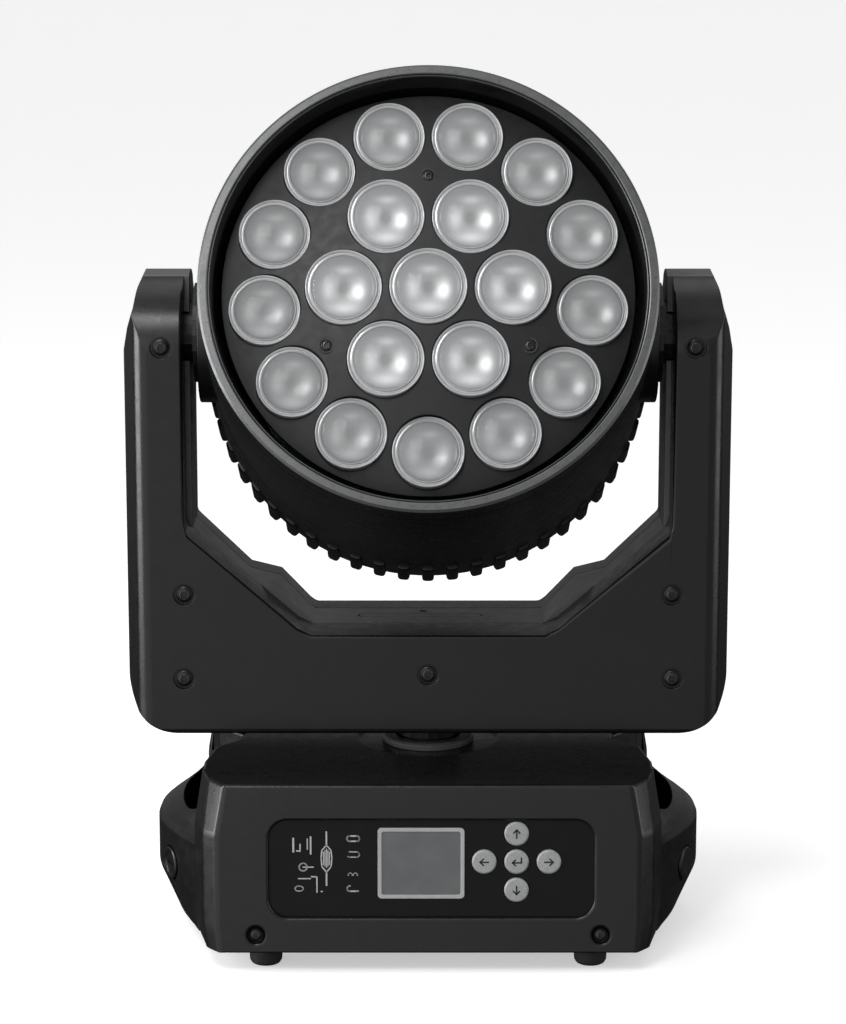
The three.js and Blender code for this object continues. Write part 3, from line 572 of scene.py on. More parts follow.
def make_finishes():
    bezel = Finish("bezel_grey", (0.11, 0.112, 0.114), 0.3, 0.4)
    bezel.mottle(14, (0.14, 0.142, 0.144), 0.5).smudged(5, 0.05)
    bezel.brushed_round(0.25, 0.03).grained(0.4, 0.15, 0.02)
    screw = Finish("screw_black", 0.02, 0.3, 0.8).mottle(1.5, 0.05, 0.6)
    screw.worn(0.3, 0.5).smudged(1.2, 0.06)
    return {
        "casing": casing_finish("casing_black", 0.005, 0.29),
        # painted sheen: the casing finish made lighter, standing in for the bright backdrop that the
        # frame's upward faces reflect
        "frame": casing_finish("frame_grey", 0.1, 0.34),
        "ribs": casing_finish("rib_black", 0.005, 0.34),
        "bezel": bezel.material,
        "screw": screw.material,
        "liner": finished("liner_gloss_black", 0.004, 0.16, (20, 0.007, 0.5), (8, 0.04)),
        "board": finished("board_matt_black", 0.008, 0.5, (8, 0.014, 0.6), (6, 0.06),
                          (0.7, 0.35, 0.08)),
        "rubber": finished("rubber_black", 0.012, 0.75, (4, (0.022, 0.021, 0.02), 0.6), (3, 0.08),
                           (0.6, 0.4, 0.06)),
        "socket": finished("socket_black", 0.01, 0.3, (6, 0.018, 0.5), (4, 0.05)),
        "circuit": finished("circuit_green", (0.012, 0.09, 0.035), 0.35,
                            (3, (0.02, 0.16, 0.07), 0.7), (2, 0.06), (1.5, 0.2, 0.05)),
        "motor": finished("motor_black", 0.03, 0.4, (6, (0.05, 0.05, 0.052), 0.6), (4, 0.06), None,
                          0.4),
        **lens_finishes(), **panel_finishes(), **metal_finishes(),
    }


# ---- base
def base_outline(z):
    high = max(0, (z - BASE["shoulder"]) / (BASE["top"] - BASE["shoulder"]))
    low = max(0, 1 - z / 20)
    widest = 150.3 - 5.9 * high - 3 * low
    behind = min(145.8, widest)
    front = BASE["front_low"] + (BASE["front_high"] - BASE["front_low"]) * z / BASE["top"]

    def quarter(edge):
        return [(134.5 - 5.5 * high - 1.5 * low, edge), (144 - 4.3 * high - 3 * low,
                edge - 10 - 5 * high), (widest, CORNER_Y), (behind, 76.8), (144.5, 56), (139, 24),
                (122, 5)]
    return mirrored([(x, -y) for x, y in quarter(front)] + quarter(BASE["rear"])[::-1])


def base_plain_outline(z):
    """The same without the step behind the corner block, for the hollow."""
    outline = base_outline(z)
    widest = max(x for x, y in outline)
    return [(x, y) for x, y in outline if abs(x) != widest or abs(y) != CORNER_Y]


def on_face(mesh):
    return moved(mesh, FACE)


def base_screw_places():
    return [(-109.5, 11.5), (109.5, 11.5)]


def make_base(look):
    outer = loft([[(x, y, z) for x, y in base_outline(z)] for z in (0, 20, 76, 109)])
    levels = ((20, -1), (20, 20), (76, 76), (103, 103))
    hollow = loft([[(x, y, z) for x, y in inset(base_plain_outline(level), BASE["wall"])]
                   for level, z in levels])
    mouth = on_face(prism(rectangle(PANEL["x"], PANEL["z"], PANEL["width"], PANEL["height"],
                                    PANEL["radius"]), -5, 8, "y"))
    rear_mouth = prism(rectangle(0, 54, 216, 60, 6), 108, 118, "y")
    pan = prism(circle(20.8), 90, 120)
    recess = prism(circle(46, sides=96), 107, 120)
    sunk = [on_face(prism(circle(4.9, x, z), -3, 2.4, "y")) for x, z in base_screw_places()]
    shell = cut(outer, hollow, mouth, rear_mouth, pan, recess, *sunk)

    def share(middle, run):
        x, y, z = middle
        mouth_edge = abs(x - PANEL["x"]) < 104.5 and 22 < z < 87.5 and y < -108
        if mouth_edge:
            outside = y + BASE["front_low"] - z * math.tan(LEAN) < 0.8
            return 0.8 if outside else 0
        if Vector((x, y)).length < 50:
            return 0.25 if z > 106 else 0
        inner = inset(base_plain_outline(max(20, z)), BASE["wall"] + 0.4)
        if z < 102 and max(abs(p[0]) for p in inner) > abs(x) and abs(y) < 106 and abs(x) < 118:
            return 0
        if z < 1:
            return 0.25
        if abs(abs(y) - 77) < 1 and abs(x) < 146.5:
            return 0
        if y > 108 and abs(x) < 109 and 23 < z < 85:
            return 0.3
        near = min((Vector((x, y)) - Vector(p)).length for p in inner)
        if near < 1.2 and z < 106:
            return 0
        if abs(x) < 142 and abs(y) < 60 and z < 107:
            return 0.4
        return 1
    shell = softened(shell, 2.6, share, 3, 9)
    piece("base_shell", [(shell, look["casing"])], "base", ["base_housing"])

    screws = [on_face(moved(socket_screw(4.1), at(x, 2.2, z))) for x, z in base_screw_places()]
    piece("base_front_screws", [(joined(*screws), look["screw"])], "base")

    profile = fillet([(21, 107.3), (30, 107.3), (30, 110.6), (28.6, 112), (22.4, 112), (21, 110.8)],
                     [0, 0, 1, 1, 1, 1], 3)
    collar = turned(profile, 96, axis="z")
    # the collar takes the frame finish, with its painted sheen
    piece("pan_collar_ring", [(collar, look["frame"])], "base", ["pan_collar"])


def make_feet(look):
    profile = [(0, -14), (8.2, -14), (9.2, -13.4), (10.3, -11.5), (10.5, -9.5), (10.5, -4.5),
               (10, -4), (10, -3), (10.5, -2.5), (10.5, 1.4), (0, 1.4)]
    for name in ("front_left", "front_right", "rear_left", "rear_right"):
        low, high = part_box(f"foot_{name}")
        middle = (low + high) / 2 / MM
        ring = fillet(profile, [0, 0.6, 1, 1, 0.6, 0.5, 0.3, 0.3, 0.5, 0, 0], 3)
        foot = moved(turned(ring, 48, axis="z"), at(middle.x, middle.y, 0))
        piece(f"foot_rubber_{name}", [(foot, look["rubber"])], "base", [f"foot_{name}"])


def socket_screw(radius, dome=0.36, socket=0.52):
    """A button head facing -Y with a hexagon socket, its seat at y 0."""
    high = radius * dome
    steps = 7
    rim = 0.25 * high
    top = [(radius * math.cos(TURN / 4 * k / steps), rim + (high - rim) * math.sin(TURN / 4 * k / steps))
           for k in range(steps + 1)]
    flat = [(r, h) for r, h in top if r > radius * 0.62]
    crown = flat[-1][1]
    hexagon = [(socket * radius * math.cos(TURN * k / 6), socket * radius * math.sin(TURN * k / 6))
               for k in range(6)]
    profile = [(0, -0.6), (radius, -0.6), *flat, (radius * 0.58, crown + 0.02 * radius),
               (0, crown + 0.02 * radius)]
    head = turned(profile, 40)
    hole = prism(hexagon, -crown - 2, -crown + radius * 0.45, "y")
    return cut(head, hole)


def bow(y):
    return math.cos(math.pi * y / (2 * HANDLE["quarter"]))


def handle_reach(y, bulge):
    return HANDLE["inner"] + 0.7 + bulge * bow(y)


def handle_section(y, deep):
    outer = handle_reach(y, HANDLE["bow"]) - deep
    foot = handle_reach(y, HANDLE["low"]) - deep
    room = outer - HANDLE["inner"]
    edge, crease = min(2, room * 0.2), min(7, room * 0.45)
    back = HANDLE["inner"] - (6 if deep else 0)
    sink = 2 if deep else 0
    thick = deep * 1.1
    points = [(back, -sink), (foot, -sink), (outer, 26), (outer, 58 - thick / 2),
              (outer - edge, 63 - thick), (outer - crease, 67 - thick), (back, 78 - thick)]
    soft = [0.5, 3, 14, 5, 4, 4, 0.8]
    return [(x, y, z) for x, z in fillet(points, soft, 5)]


def handle_body(half, deep, steps):
    return loft([handle_section(-half + 2 * half * i / steps, deep) for i in range(steps + 1)])


def switch_place(side):
    """Where the round switch or plug sits: a frame with -Y outwards."""
    x = handle_reach(SWITCH["y"], HANDLE["bow"])
    quarter = math.pi / (2 * HANDLE["quarter"])
    slope = HANDLE["bow"] * quarter * math.sin(quarter * SWITCH["y"])
    turn = side * (math.pi / 2 + math.atan(slope))
    return at(side * x, SWITCH["y"], SWITCH["z"]) @ Matrix.Rotation(turn, 4, "Z")


def make_handles(look):
    for side, name in ((-1, "left"), (1, "right")):
        flip = Matrix.Scale(side, 4, (1, 0, 0))
        body = moved(handle_body(HANDLE["half"], 0, 44), flip)
        hollow = moved(handle_body(HANDLE["half"] - 10, HANDLE["wall"], 24), flip)
        line = [(138, -48), (146.3, -48), *[(147 + 14 * math.cos(a), 48 * math.sin(a)) for a in
                [math.pi * (k / 40 - 0.5) for k in range(1, 40)]], (146.3, 48), (138, 48)]
        slot = moved(prism(line, 40, 84), flip)
        place = switch_place(side)
        bore = moved(prism(circle(11.3), -6, 10, "y"), place)
        dish = moved(turned([(0, 1), (12.4, 1), (11, -0.9), (0, -0.9)], 48), place)
        shell = cut(body, hollow, slot, bore, dish)

        def share(middle, run):
            x, y, z = abs(middle.x), middle.y, middle.z
            near = (Vector((x, y, z)) - Vector((SWITCH["x"], SWITCH["y"], SWITCH["z"]))).length
            if near < 14:
                return 0.5 if near > 10.9 else 0
            if abs(y) > 75.5:
                return 0.3
            if z > 60 and x < 163 and abs(y) < 50:
                return 1
            return 0
        shell = softened(shell, 1.3, share, 3, 30)
        piece(f"handle_shell_{name}", [(shell, look["casing"])], "base",
              [f"handle_{name}"])

    plug = turned(fillet([(0, -5), (10.6, -5), (10.6, 0.4), (9.8, 1.1), (7.6, 0.9), (7.2, 0.3),
                          (0, 0.3)], [0, 0, 0.5, 0.5, 0.4, 0.4, 0], 3), 64)
    notch = prism(rectangle(0, 0, 9, 1.6, 0.7), -2, 1, "y")
    piece("handle_plug", [(cut(plug, notch), look["casing"])], "base",
          matrix=switch_place(-1))
    r = SWITCH["radius"]
    cap = turned(fillet([(0, -6.5), (r, -6.5), (r, -0.2), (10, 1.1), (7, 1.2), (3, 0.8),
                         (0, 0.7)], [0, 0, 1, 1, 2, 2, 0], 4), 64)
    piece("power_button_cap", [(cap, look["socket"])], "power_button",
          ["power_button"], switch_place(1))


# ---- front panel
def stroke(points, width, low, high, closed=False):
    """A thin raised line along points of the panel's plane."""
    ends = [Vector(p) for p in points]
    parts = []
    pairs = list(zip(ends, ends[1:] + ends[:1])) if closed else list(zip(ends, ends[1:]))
    for a, b in pairs:
        along = (b - a).normalized() * width / 2
        side = Vector((-along.y, along.x))
        corners = [a - along + side, a - along - side, b + along - side, b + along + side]
        parts.append(prism([tuple(c) for c in corners], low, high, "y"))
    return joined(*parts)


def arrow(x, z, direction, size):
    """A shaft with a two-stroke head pointing along direction."""
    d = Vector(direction)
    n = Vector((-d.y, d.x))
    c = Vector((x, z))
    tip, tail = c + d * size, c - d * size
    barb = size * 0.75
    return [[tuple(tail), tuple(tip)],
            [tuple(tip - d * barb + n * barb), tuple(tip), tuple(tip - d * barb - n * barb)]]


def key_places():
    x, z, pitch, rise = KEY["x"], KEY["z"], KEY["pitch"], KEY["rise"]
    return {"up": (x, z + rise, (0, 1)), "left": (x - pitch, z, (-1, 0)), "enter": (x, z, None),
            "right": (x + pitch, z, (1, 0)), "down": (x, z - rise, (0, -1))}


def make_panel(look):
    depth = PANEL["depth"]
    edge = 4
    outline = rectangle(PANEL["x"], PANEL["z"], PANEL["width"] + 2 * edge,
                        PANEL["height"] + 2 * edge, PANEL["radius"])
    holes = [circle(KEY["radius"] + 0.35, x, z) for x, z, _ in key_places().values()]
    plate = eased(prism(outline, depth, depth + 3, "y", holes), 0.3)
    shallow = depth - 0.35
    lines = pictograms()
    prints = joined(*[stroke(points, width, shallow + 0.2, shallow + 0.36, ring)
                      for points, width, ring in lines])
    piece("panel_face", [(plate, look["panel"]), (prints, look["print"])], "base",
          ["front_panel"], FACE)

    outer = rectangle(DISPLAY["x"], DISPLAY["z"], DISPLAY["width"], DISPLAY["height"], 2.6)
    inner = rectangle(DISPLAY["x"], DISPLAY["z"], DISPLAY["width"] - 2 * DISPLAY["border"],
                      DISPLAY["height"] - 2 * DISPLAY["border"], 1.4)
    border = eased(prism(outer, depth - 1.3, depth - 0.05, "y", [inner]), 0.35)
    window = prism(inset(inner, -0.6), depth - 0.8, depth - 0.1, "y")
    piece("display_frame", [(border, look["border"]), (window, look["screen"])], "base",
          ["display_window"], FACE)

    for name, (x, z, direction) in key_places().items():
        top = depth - KEY["proud"]
        radius = KEY["radius"]
        profile = fillet([(0, -top - 6), (radius, -top - 6), (radius, -top - 0.9),
                          (radius - 0.9, -top - 0.1), (radius * 0.5, -top), (0, -top)],
                         [0, 0, 0.5, 0.6, 0, 0], 3)
        cap = turned(profile, 56, (x, z))
        if direction:
            marks = [stroke(points, 0.95, top - 0.12, top + 0.5) for points in
                     arrow(x, z, direction, 2.6)]
        else:
            hook = [(x + 3, z + 2.6), (x + 3, z - 0.4), (x - 2.6, z - 0.4)]
            head = [(x - 0.8, z + 1.4), (x - 2.6, z - 0.4), (x - 0.8, z - 2.2)]
            marks = [stroke(points, 0.95, top - 0.12, top + 0.5) for points in (hook, head)]
        piece(f"key_{name}", [(cap, look["key"]), (joined(*marks), look["mark"])],
              f"button_{name}", [f"button_{name}"], FACE)


def pictograms():
    """Generic signs left of the display, as in a lighting desk's legend: (points, width, closed)."""
    found = []
    # bars and a small hook
    found += [([(-85.5, 73.8), (-85.5, 65.5)], 1.2, False), ([(-76.6, 73.6), (-76.6, 67)], 0.7, False),
              ([(-74.5, 74.8), (-74.5, 64)], 1.0, False)]
    found.append(([(-81.2, 70), (-81.2, 65.6), (-83.4, 65.9)], 0.8, False))
    # a hatched body on an upright line
    x = -64.5
    found += [([(x, 78), (x, 69)], 1.0, False), ([(x, 52.5), (x, 43.6)], 1.0, False)]
    body = [(x, 69.5), (x + 2.9, 66.2), (x + 3.4, 61), (x + 2.9, 55.6), (x, 52), (x - 2.9, 55.6),
            (x - 3.4, 61), (x - 2.9, 66.2)]
    found.append((body, 0.8, True))
    found += [([(x + k * 0.95, 67 - abs(k)), (x + k * 0.95, 55 + abs(k))], 0.6, False)
              for k in range(-2, 3)]
    # a knob with a pointer
    ring = [(-79.3 + 2.5 * math.cos(TURN * k / 20), 55.3 + 2.5 * math.sin(TURN * k / 20))
            for k in range(20)]
    found += [(ring, 0.8, True), ([(-79.3, 55.3), (-72.9, 55.3)], 0.7, False)]
    # a drop, a stepped line and a dot
    drop = [(-81.9 + 2.6 * math.cos(TURN * k / 18), 41.3 + 1.7 * math.sin(TURN * k / 18))
            for k in range(18)]
    found += [(drop, 0.7, True), ([(-82.2, 47.8), (-74.7, 47.8)], 0.7, False),
              ([(-74, 49.1), (-70.6, 48.9), (-70.6, 39)], 0.8, False),
              ([(-67.9, 39.4), (-67.2, 39.4)], 0.7, False)]
    # a column of slots, one whole and two partly open, with two humps between
    for z, start, end, width in ((73.8, 0, 32, 0.9), (63.5, 20, 42, 0.6), (41.3, 8, 27, 0.9)):
        slot = rectangle(-47.5, z, 7.8, 3.4, 1.7, 7)
        part = [slot[k % len(slot)] for k in range(start, min(end, start + len(slot)))]
        found.append((part, width, z == 73.8))
    for x in (-49.4, -46.2):
        hump = [(x + 1.3 * math.cos(TURN / 2 * k / 8), 50 + 1.4 * math.sin(TURN / 2 * k / 8))
                for k in range(9)]
        found.append((hump, 0.6, False))
    return found


# ---- rear panel
def around(outline, face, front, rear, holes=()):
    """A slab on the rear panel, from front to rear of its face."""
    return prism(outline, face + front, face + rear, "y", holes)


def contact_places(x):
    return [(x + PIN_CIRCLE * math.cos(a), REAR_Z + PIN_CIRCLE * math.sin(a))
            for a in (math.radians(30), math.radians(150), math.radians(270))]


def flange(face, x, width, height, radius, mouth):
    return eased(around(rectangle(x, REAR_Z, width, height, radius), face, 0, 2.5, [mouth]), 0.5)


def make_inlet(look, face):
    mouth = rectangle(INLET_X, REAR_Z, 25, 18.5, 2.5)
    tub = around(rectangle(INLET_X, REAR_Z, 31.5, 25.5, 1.5), face, -22, 0.2)
    tub = cut(tub, around(mouth, face, -14, 4))
    pins = [eased(around(rectangle(INLET_X + dx, REAR_Z + dz, 2, 5, 0.4), face, -15, -3), 0.3)
            for dx, dz in ((-7, -1.5), (0, 1.8), (7, -1.5))]
    piece("mains_inlet", [(joined(flange(face, INLET_X, 50, 31, 3, mouth), tub), look["socket"]),
                          (joined(*pins), look["contact"])], "base",
          ["power_inlet"])


def make_fuse(look, face):
    cap = turned(fillet([(0, -face + 17), (6.8, -face + 17), (6.8, -face), (9, -face),
                         (9, -face - 4.2), (8, -face - 5), (0, -face - 5)],
                        [0, 0, 0, 0.3, 0.8, 0.6, 0], 3), 48, (FUSE_X, REAR_Z))
    slot = around(rectangle(FUSE_X, REAR_Z, 11, 1.8, 0.8), face, 3.6, 6)
    piece("fuse_cap", [(cut(cap, slot), look["socket"])], "base", ["fuse_holder"])


def make_data_socket(look, face, name, x, male):
    mouth = circle(9.5, x, REAR_Z)
    tub = cut(around(circle(11.9, x, REAR_Z), face, -20, 0.2), around(mouth, face, -12, 4))
    parts = [flange(face, x, 26, 31, 2.5, mouth), tub]
    if not male:
        holes = [circle(1.3, px, pz, 16) for px, pz in contact_places(x)]
        insert = around(circle(8.2, x, REAR_Z), face, -12.2, -1, holes)
        latch = around(rectangle(x, 65.4, 7, 3.4, 0.8), face, 2, 4)
        parts += [eased(insert, 0.3), eased(latch, 0.5)]
    flip = Matrix.Rotation(math.pi, 4, "Z")
    heads = [moved(socket_screw(1.9), at(x + sx * 9.4, face + 2.4, REAR_Z + sz * 12) @ flip)
             for sx, sz in ((-1, 1), (1, -1))]
    made = [(joined(*parts), look["socket"]), (joined(*heads), look["steel"])]
    if male:
        profile = fillet([(0, 13 - face), (1.1, 13 - face), (1.1, 4 - face), (0, 3.4 - face)],
                         [0, 0, 0.4, 0], 3)
        contacts = [turned(profile, 20, place) for place in contact_places(x)]
        made.append((joined(*contacts), look["contact"]))
    piece(f"{name}_socket", made, "base", [name])


def make_rear(look):
    face = BASE["rear"] - BASE["wall"]
    holes = [rectangle(INLET_X, REAR_Z, 32.6, 26.6, 0.5, 2), circle(7.1, FUSE_X, REAR_Z),
             *[circle(12.3, x, REAR_Z) for x in DATA_X.values()]]
    plate = around(rectangle(0, REAR_Z, 226, 70, 4), face, -2.3, -0.3, holes)
    piece("rear_plate", [(eased(plate, 0.3), look["sheet"])], "base",
          ["rear_panel"])
    make_inlet(look, face)
    make_fuse(look, face)
    for name, x in DATA_X.items():
        make_data_socket(look, face, name, x, name == "dmx_input")


# ---- yoke
def yoke_opening(points, top=TILT_Z + 60):
    return mirrored([*points, (points[-1][0], top)])


def cover_opening():
    return yoke_opening([(75, YOKE["saddle"]), (84, 194), (154.6, 255.5),
                         (YOKE["cover_inner"], 262)])


def frame_opening():
    return yoke_opening([(74, YOKE["saddle"]), (78, 192.5), (97, 212.5), (117, 217.5),
                         (YOKE["inner"], 252)])


def through(outline, axis):
    return prism(outline, -FAR, FAR, axis)


def yoke_blank(shrink):
    d, outer, c, corner = YOKE["half"], YOKE["outer"], YOKE["chamfer"], YOKE["corner"]
    top = fillet([(outer, 200), (outer, ROUND_Z - 3), (outer - 3.5, ROUND_Z + 14),
                  (outer - 8, ROUND_Z + 28), (outer - 10, ROUND_Z + 39), (outer - 14, ROUND_Z + d)],
                 [0, 20, 20, 20, 20, 0], 3)
    face = mirrored([*arc(outer - corner, YOKE["bottom"] + corner, corner, -TURN / 4, 0, 18),
                     *top[1:]])
    side = [*arc(c - d, YOKE["bottom"] + c, c, TURN / 2, 3 * TURN / 4, 6),
            *arc(d - c, YOKE["bottom"] + c, c, 3 * TURN / 4, TURN, 6),
            *arc(0, ROUND_Z, d, 0, TURN / 2, 48)]
    front = fillet([(100, -d), (outer - 14, -d), (outer - 8, 5 - d), (outer, -16), (outer, 0)],
                   [0, 9, 9, 16, 0], 5)[1:-1]
    plan = mirrored([*front, *[(x, -y) for x, y in reversed(front)]])
    return common(through(inset(face, shrink), "y"), through(inset(side, shrink), "x"),
                  prism(inset(plan, shrink), -FAR, 2 * FAR, "z"))


def yoke_screw_places():
    return [(0, 163.5), *[(s * x, z) for s in (-1, 1) for x, z in
            ((169, 377.5), (156.4, 216.6), (157.2, 160.8))]]


def yoke_slice(opening, y0, y1, hollow0, hollow1):
    span = [(-FAR, 0), (FAR, 0), (FAR, 2 * FAR), (-FAR, 2 * FAR)]
    wall = YOKE["wall"]
    solid = common(yoke_blank(0), prism(span, y0, y1, "y"))
    inside = common(yoke_blank(wall), prism(span, hollow0, hollow1, "y"))
    inside = cut(inside, through(inset(opening, -wall), "y"))
    return cut(solid, through(opening, "y"), inside)


def shaft_hole(radius, x0, x1):
    return prism(circle(radius, 0, TILT_Z), x0, x1, "x")


def make_yoke(look):
    d, front, rear = YOKE["half"], YOKE["front"], YOKE["rear"]
    pan = prism(circle(20.3), 100, 140)

    cover = yoke_slice(cover_opening(), -d, front - 0.3, 3 - d, front + 1)
    bores = [prism(circle(SCREW_BORE, x, z), -d - 2, 2.4 - d, "y") for x, z in yoke_screw_places()]
    cover = cut(cover, shaft_hole(21, -161, 161), pan, *bores)

    def cover_share(middle, run):
        x, y, z = middle
        if z > ARM_CROWN:
            return 0
        if y > front - 1.2:
            return 0.15
        if any(math.hypot(x - sx, z - sz) < 7.4 for sx, sz in yoke_screw_places()):
            return 0.2 if y < 0.5 - d else 0
        rim = abs(abs(x) - YOKE["cover_inner"]) < 1.5 or (186 < z < 262 and abs(x) < 157)
        return 1 if rim else 0.4
    cover = softened(cover, 1.8, cover_share, 3, 33)
    piece("yoke_cover_front", [(cover, look["casing"])], "yoke", ["yoke_front_cover"])
    screws = copies(socket_screw(5.5), [at(x, 2.2 - d, z) for x, z in yoke_screw_places()])
    piece("yoke_cover_screws", [(screws, look["screw"])], "yoke")

    body = yoke_slice(frame_opening(), front, rear, front - 1, rear + 1)
    lip = cut(prism(inset(cover_opening(), -6), front, front + 2.5, "y"),
              through(frame_opening(), "y"))
    body = union(body, common(lip, yoke_blank(0.5)))
    seat = BEARING["wall"] + BEARING["gap"] + BEARING["shaft"] + BEARING["gap"]
    for side in (-1, 1):
        pad = common(prism(circle(40, 0, TILT_Z), *sorted((side * 153.5, side * 162)), "x"),
                     prism([(front, TILT_Z - 36), (rear, TILT_Z - 36), (rear, TILT_Z + 36),
                            (front, TILT_Z + 36)], -200, 200, "x"))
        ring = shaft_hole(36, *sorted((side * 159.6, side * 169.6)))
        body = union(body, pad, ring)
        body = cut(body, shaft_hole(seat, *sorted((side * 159.8, side * 171))),
                   shaft_hole(20.8, *sorted((side * 150, side * 175))))
    outline = rectangle(-5, 6, 82, 9, 4.4)
    groove = prism(outline, 188.7, 192, "z", [rectangle(-5, 6, 79.6, 6.6, 3.2)])
    eye = prism(circle(2.6, -3, 17, 24), 186, 192)
    body = cut(body, pan, groove, eye)

    def frame_share(middle, run):
        x, y, z = middle
        edge_line = min(abs(y - front), abs(y - rear)) < 0.4
        return 1 if edge_line else 0
    body = softened(body, 0.5, frame_share, 2, 25)
    # the frame finish carries painted sheen: lighter than the casing to stand in for the reflected
    # backdrop
    piece("yoke_inner_frame", [(body, look["frame"])], "yoke", ["yoke_frame"])

    back = yoke_slice(frame_opening(), rear + 0.3, d, rear - 1, d - 3)
    bores = [prism(circle(SCREW_BORE, x, z), d - 2.4, d + 2, "y") for x, z in yoke_screw_places()]
    back = cut(back, *bores)

    def back_share(middle, run):
        x, y, z = middle
        if z > ARM_CROWN:
            return 0
        if y < rear + 1.2:
            return 0.15
        if any(math.hypot(x - sx, z - sz) < 7.4 for sx, sz in yoke_screw_places()):
            return 0.14 if y > d - 0.5 else 0
        rim = abs(abs(x) - YOKE["inner"]) < 1.5 or (186 < z < 253 and abs(x) < 154)
        return 1 if rim else 0.4
    back = softened(back, 1.8, back_share, 3, 33)
    piece("yoke_cover_rear", [(back, look["casing"])], "yoke", ["yoke_rear_cover"])
    flip = Matrix.Rotation(math.pi, 4, "Z")
    screws = copies(socket_screw(5.5), [at(x, d - 2.2, z) @ flip for x, z in yoke_screw_places()])
    piece("yoke_rear_screws", [(screws, look["screw"])], "yoke")


# ---- head
def plate_at(radius):
    return PLATE["crown"] - PLATE["drop"] * (radius / (PLATE["edge"] + 2)) ** 2


def lens_places():
    """(name, x, z, lens radius, ring radius) of the twenty lenses."""
    found = [("centre", 0, 0, LENS["centre"], 0)]
    for ring, count, start in (("inner", 6, 0), ("outer", 13, -TURN / 4)):
        far = RINGS[ring]
        for i in range(count):
            a = start + TURN * i / count
            found.append((f"{ring}_{i + 1}", far * math.cos(a), far * math.sin(a),
                          LENS[ring], far))
    return found


def lens_parts(r, look, bowl_look):
    """Rim, bowl and clear dome of one lens of radius r, its seat at y 0."""
    edge = 0.84 * r
    rim = turned(fillet([(edge, -6), (r, -6), (r, 0.6), (r - 0.5, 1.4), (r - 1.3, 0.9),
                         (r - 1.9, 0.1), (edge + 0.9, 0.3), (edge + 0.5, 1.5), (edge, 1.2)],
                        [0, 0, 0.4, 0.4, 0.4, 0.4, 0.3, 0.3, 0.3], 3), 64)
    steps = 12
    deep = 6.6
    bowl = [(edge * math.sin(TURN / 4 * k / steps), -deep * math.cos(TURN / 4 * k / steps) + 0.6)
            for k in range(steps + 1)]
    bowl = turned([*bowl, (edge, -deep), (0, -deep - 0.4)], 64)
    arc_line = [(edge * math.sin(TURN / 4 * k / steps), 0.9 + 6 * math.cos(TURN / 4 * k / steps))
                for k in range(steps + 1)]
    dome = turned([*arc_line, (0, 0.5)], 64)
    return [(rim, look["rim"]), (bowl, look[bowl_look]), (dome, look["glass"])]


def make_lenses(look):
    steps = 14
    front = [(PLATE["edge"] * k / steps, plate_at(PLATE["edge"] * k / steps))
             for k in range(steps + 1)]
    back = [(r, h - PLATE["thickness"]) for r, h in reversed(front)]
    plate = turned([*front, *back], 120)
    holes = [prism(circle(r + 0.4, x, z, 64), -126, -80, "y") for _, x, z, r, _ in lens_places()]
    plate = softened(cut(plate, *holes), 0.35, None, 2, 40)
    piece("lens_board", [(plate, look["board"])], "zoom_carriage",
          ["lens_plate"], HEAD)
    stands = {"centre": "lens_centre", "inner_1": "lens_inner_ring", "outer_1": "lens_outer_ring"}
    for name, x, z, radius, far in lens_places():
        seat = plate_at(far)
        replaced = [stands[name]] if name in stands else []
        # the outer ring takes the half-bright bowl copy, painted shade
        bowl_look = "shaded_outer_bowl" if far == RINGS["outer"] else "bowl"
        piece(f"lens_{name}_optic", lens_parts(radius, look, bowl_look), "zoom_carriage",
              replaced, HEAD @ at(x, -seat, z))
    places = []
    for k in range(3):
        a = TURN / 4 + TURN * k / 3
        places.append(at(72 * math.cos(a), 0.2 - plate_at(72), 72 * math.sin(a)))
    screws = copies(socket_screw(3.6, 0.4, 0.55), places)
    collars = copies(turned(fillet([(3.8, -0.4), (5.2, -0.4), (5.2, 0.5), (3.8, 0.5)],
                                   [0, 0, 0.3, 0.3], 2), 32), places)
    piece("lens_board_screws", [(screws, look["screw"]), (collars, look["board"])],
          "zoom_carriage", (), HEAD)


def make_bezel(look):
    """The bright-edged ring and the gloss black wall inside it."""
    f, radius, mouth = BEZEL["front"], BEZEL["radius"], BEZEL["mouth"]
    back = BEZEL["joint"]
    lip = fillet([(mouth - 0.4, f - 4), (mouth + 0.3, f - 4), (mouth + 0.3, f - 0.9),
                  (mouth - 0.1, f - 0.6), (mouth - 0.4, f - 0.9)], [0, 0, 0.1, 0.1, 0.1], 2)
    liner = fillet([(BEZEL["throat"], BEZEL["rear"]), (138.2, BEZEL["rear"]), (138.2, f - 6),
                    (mouth + 1.2, f - 2.4), (mouth + 0.6, f - 2.0), (mouth - 0.6, f - 2.2),
                    (BEZEL["throat"] - 0.6, BEZEL["rear"] + 4)], [0, 0, 0, 0, 0.2, 0.5, 1], 3)
    outer = fillet([(138.6, back + 0.3), (radius - 0.1, back + 0.3), (radius - 0.1, f - 2.4),
                    (radius - 1, f - 2.4)], [0, 0, 0.2, 0], 2)
    front_ring = fillet([(mouth + 0.9, f - 3), (radius - 0.1, f - 3), (radius - 0.1, f - 1.5),
                         (radius - 1.6, f), (mouth + 1.5, f), (mouth + 0.9, f - 0.5)],
                        [0, 0, 0.2, 0.3, 0.3, 0.3], 3)
    piece("bezel_ring", [(turned(front_ring, 192), look["bezel"]), (turned(lip, 192), look["bezel"]),
                         (turned(liner, 192), look["liner"]), (turned(outer, 192), look["casing"])],
          "head", ["front_bezel"], HEAD)


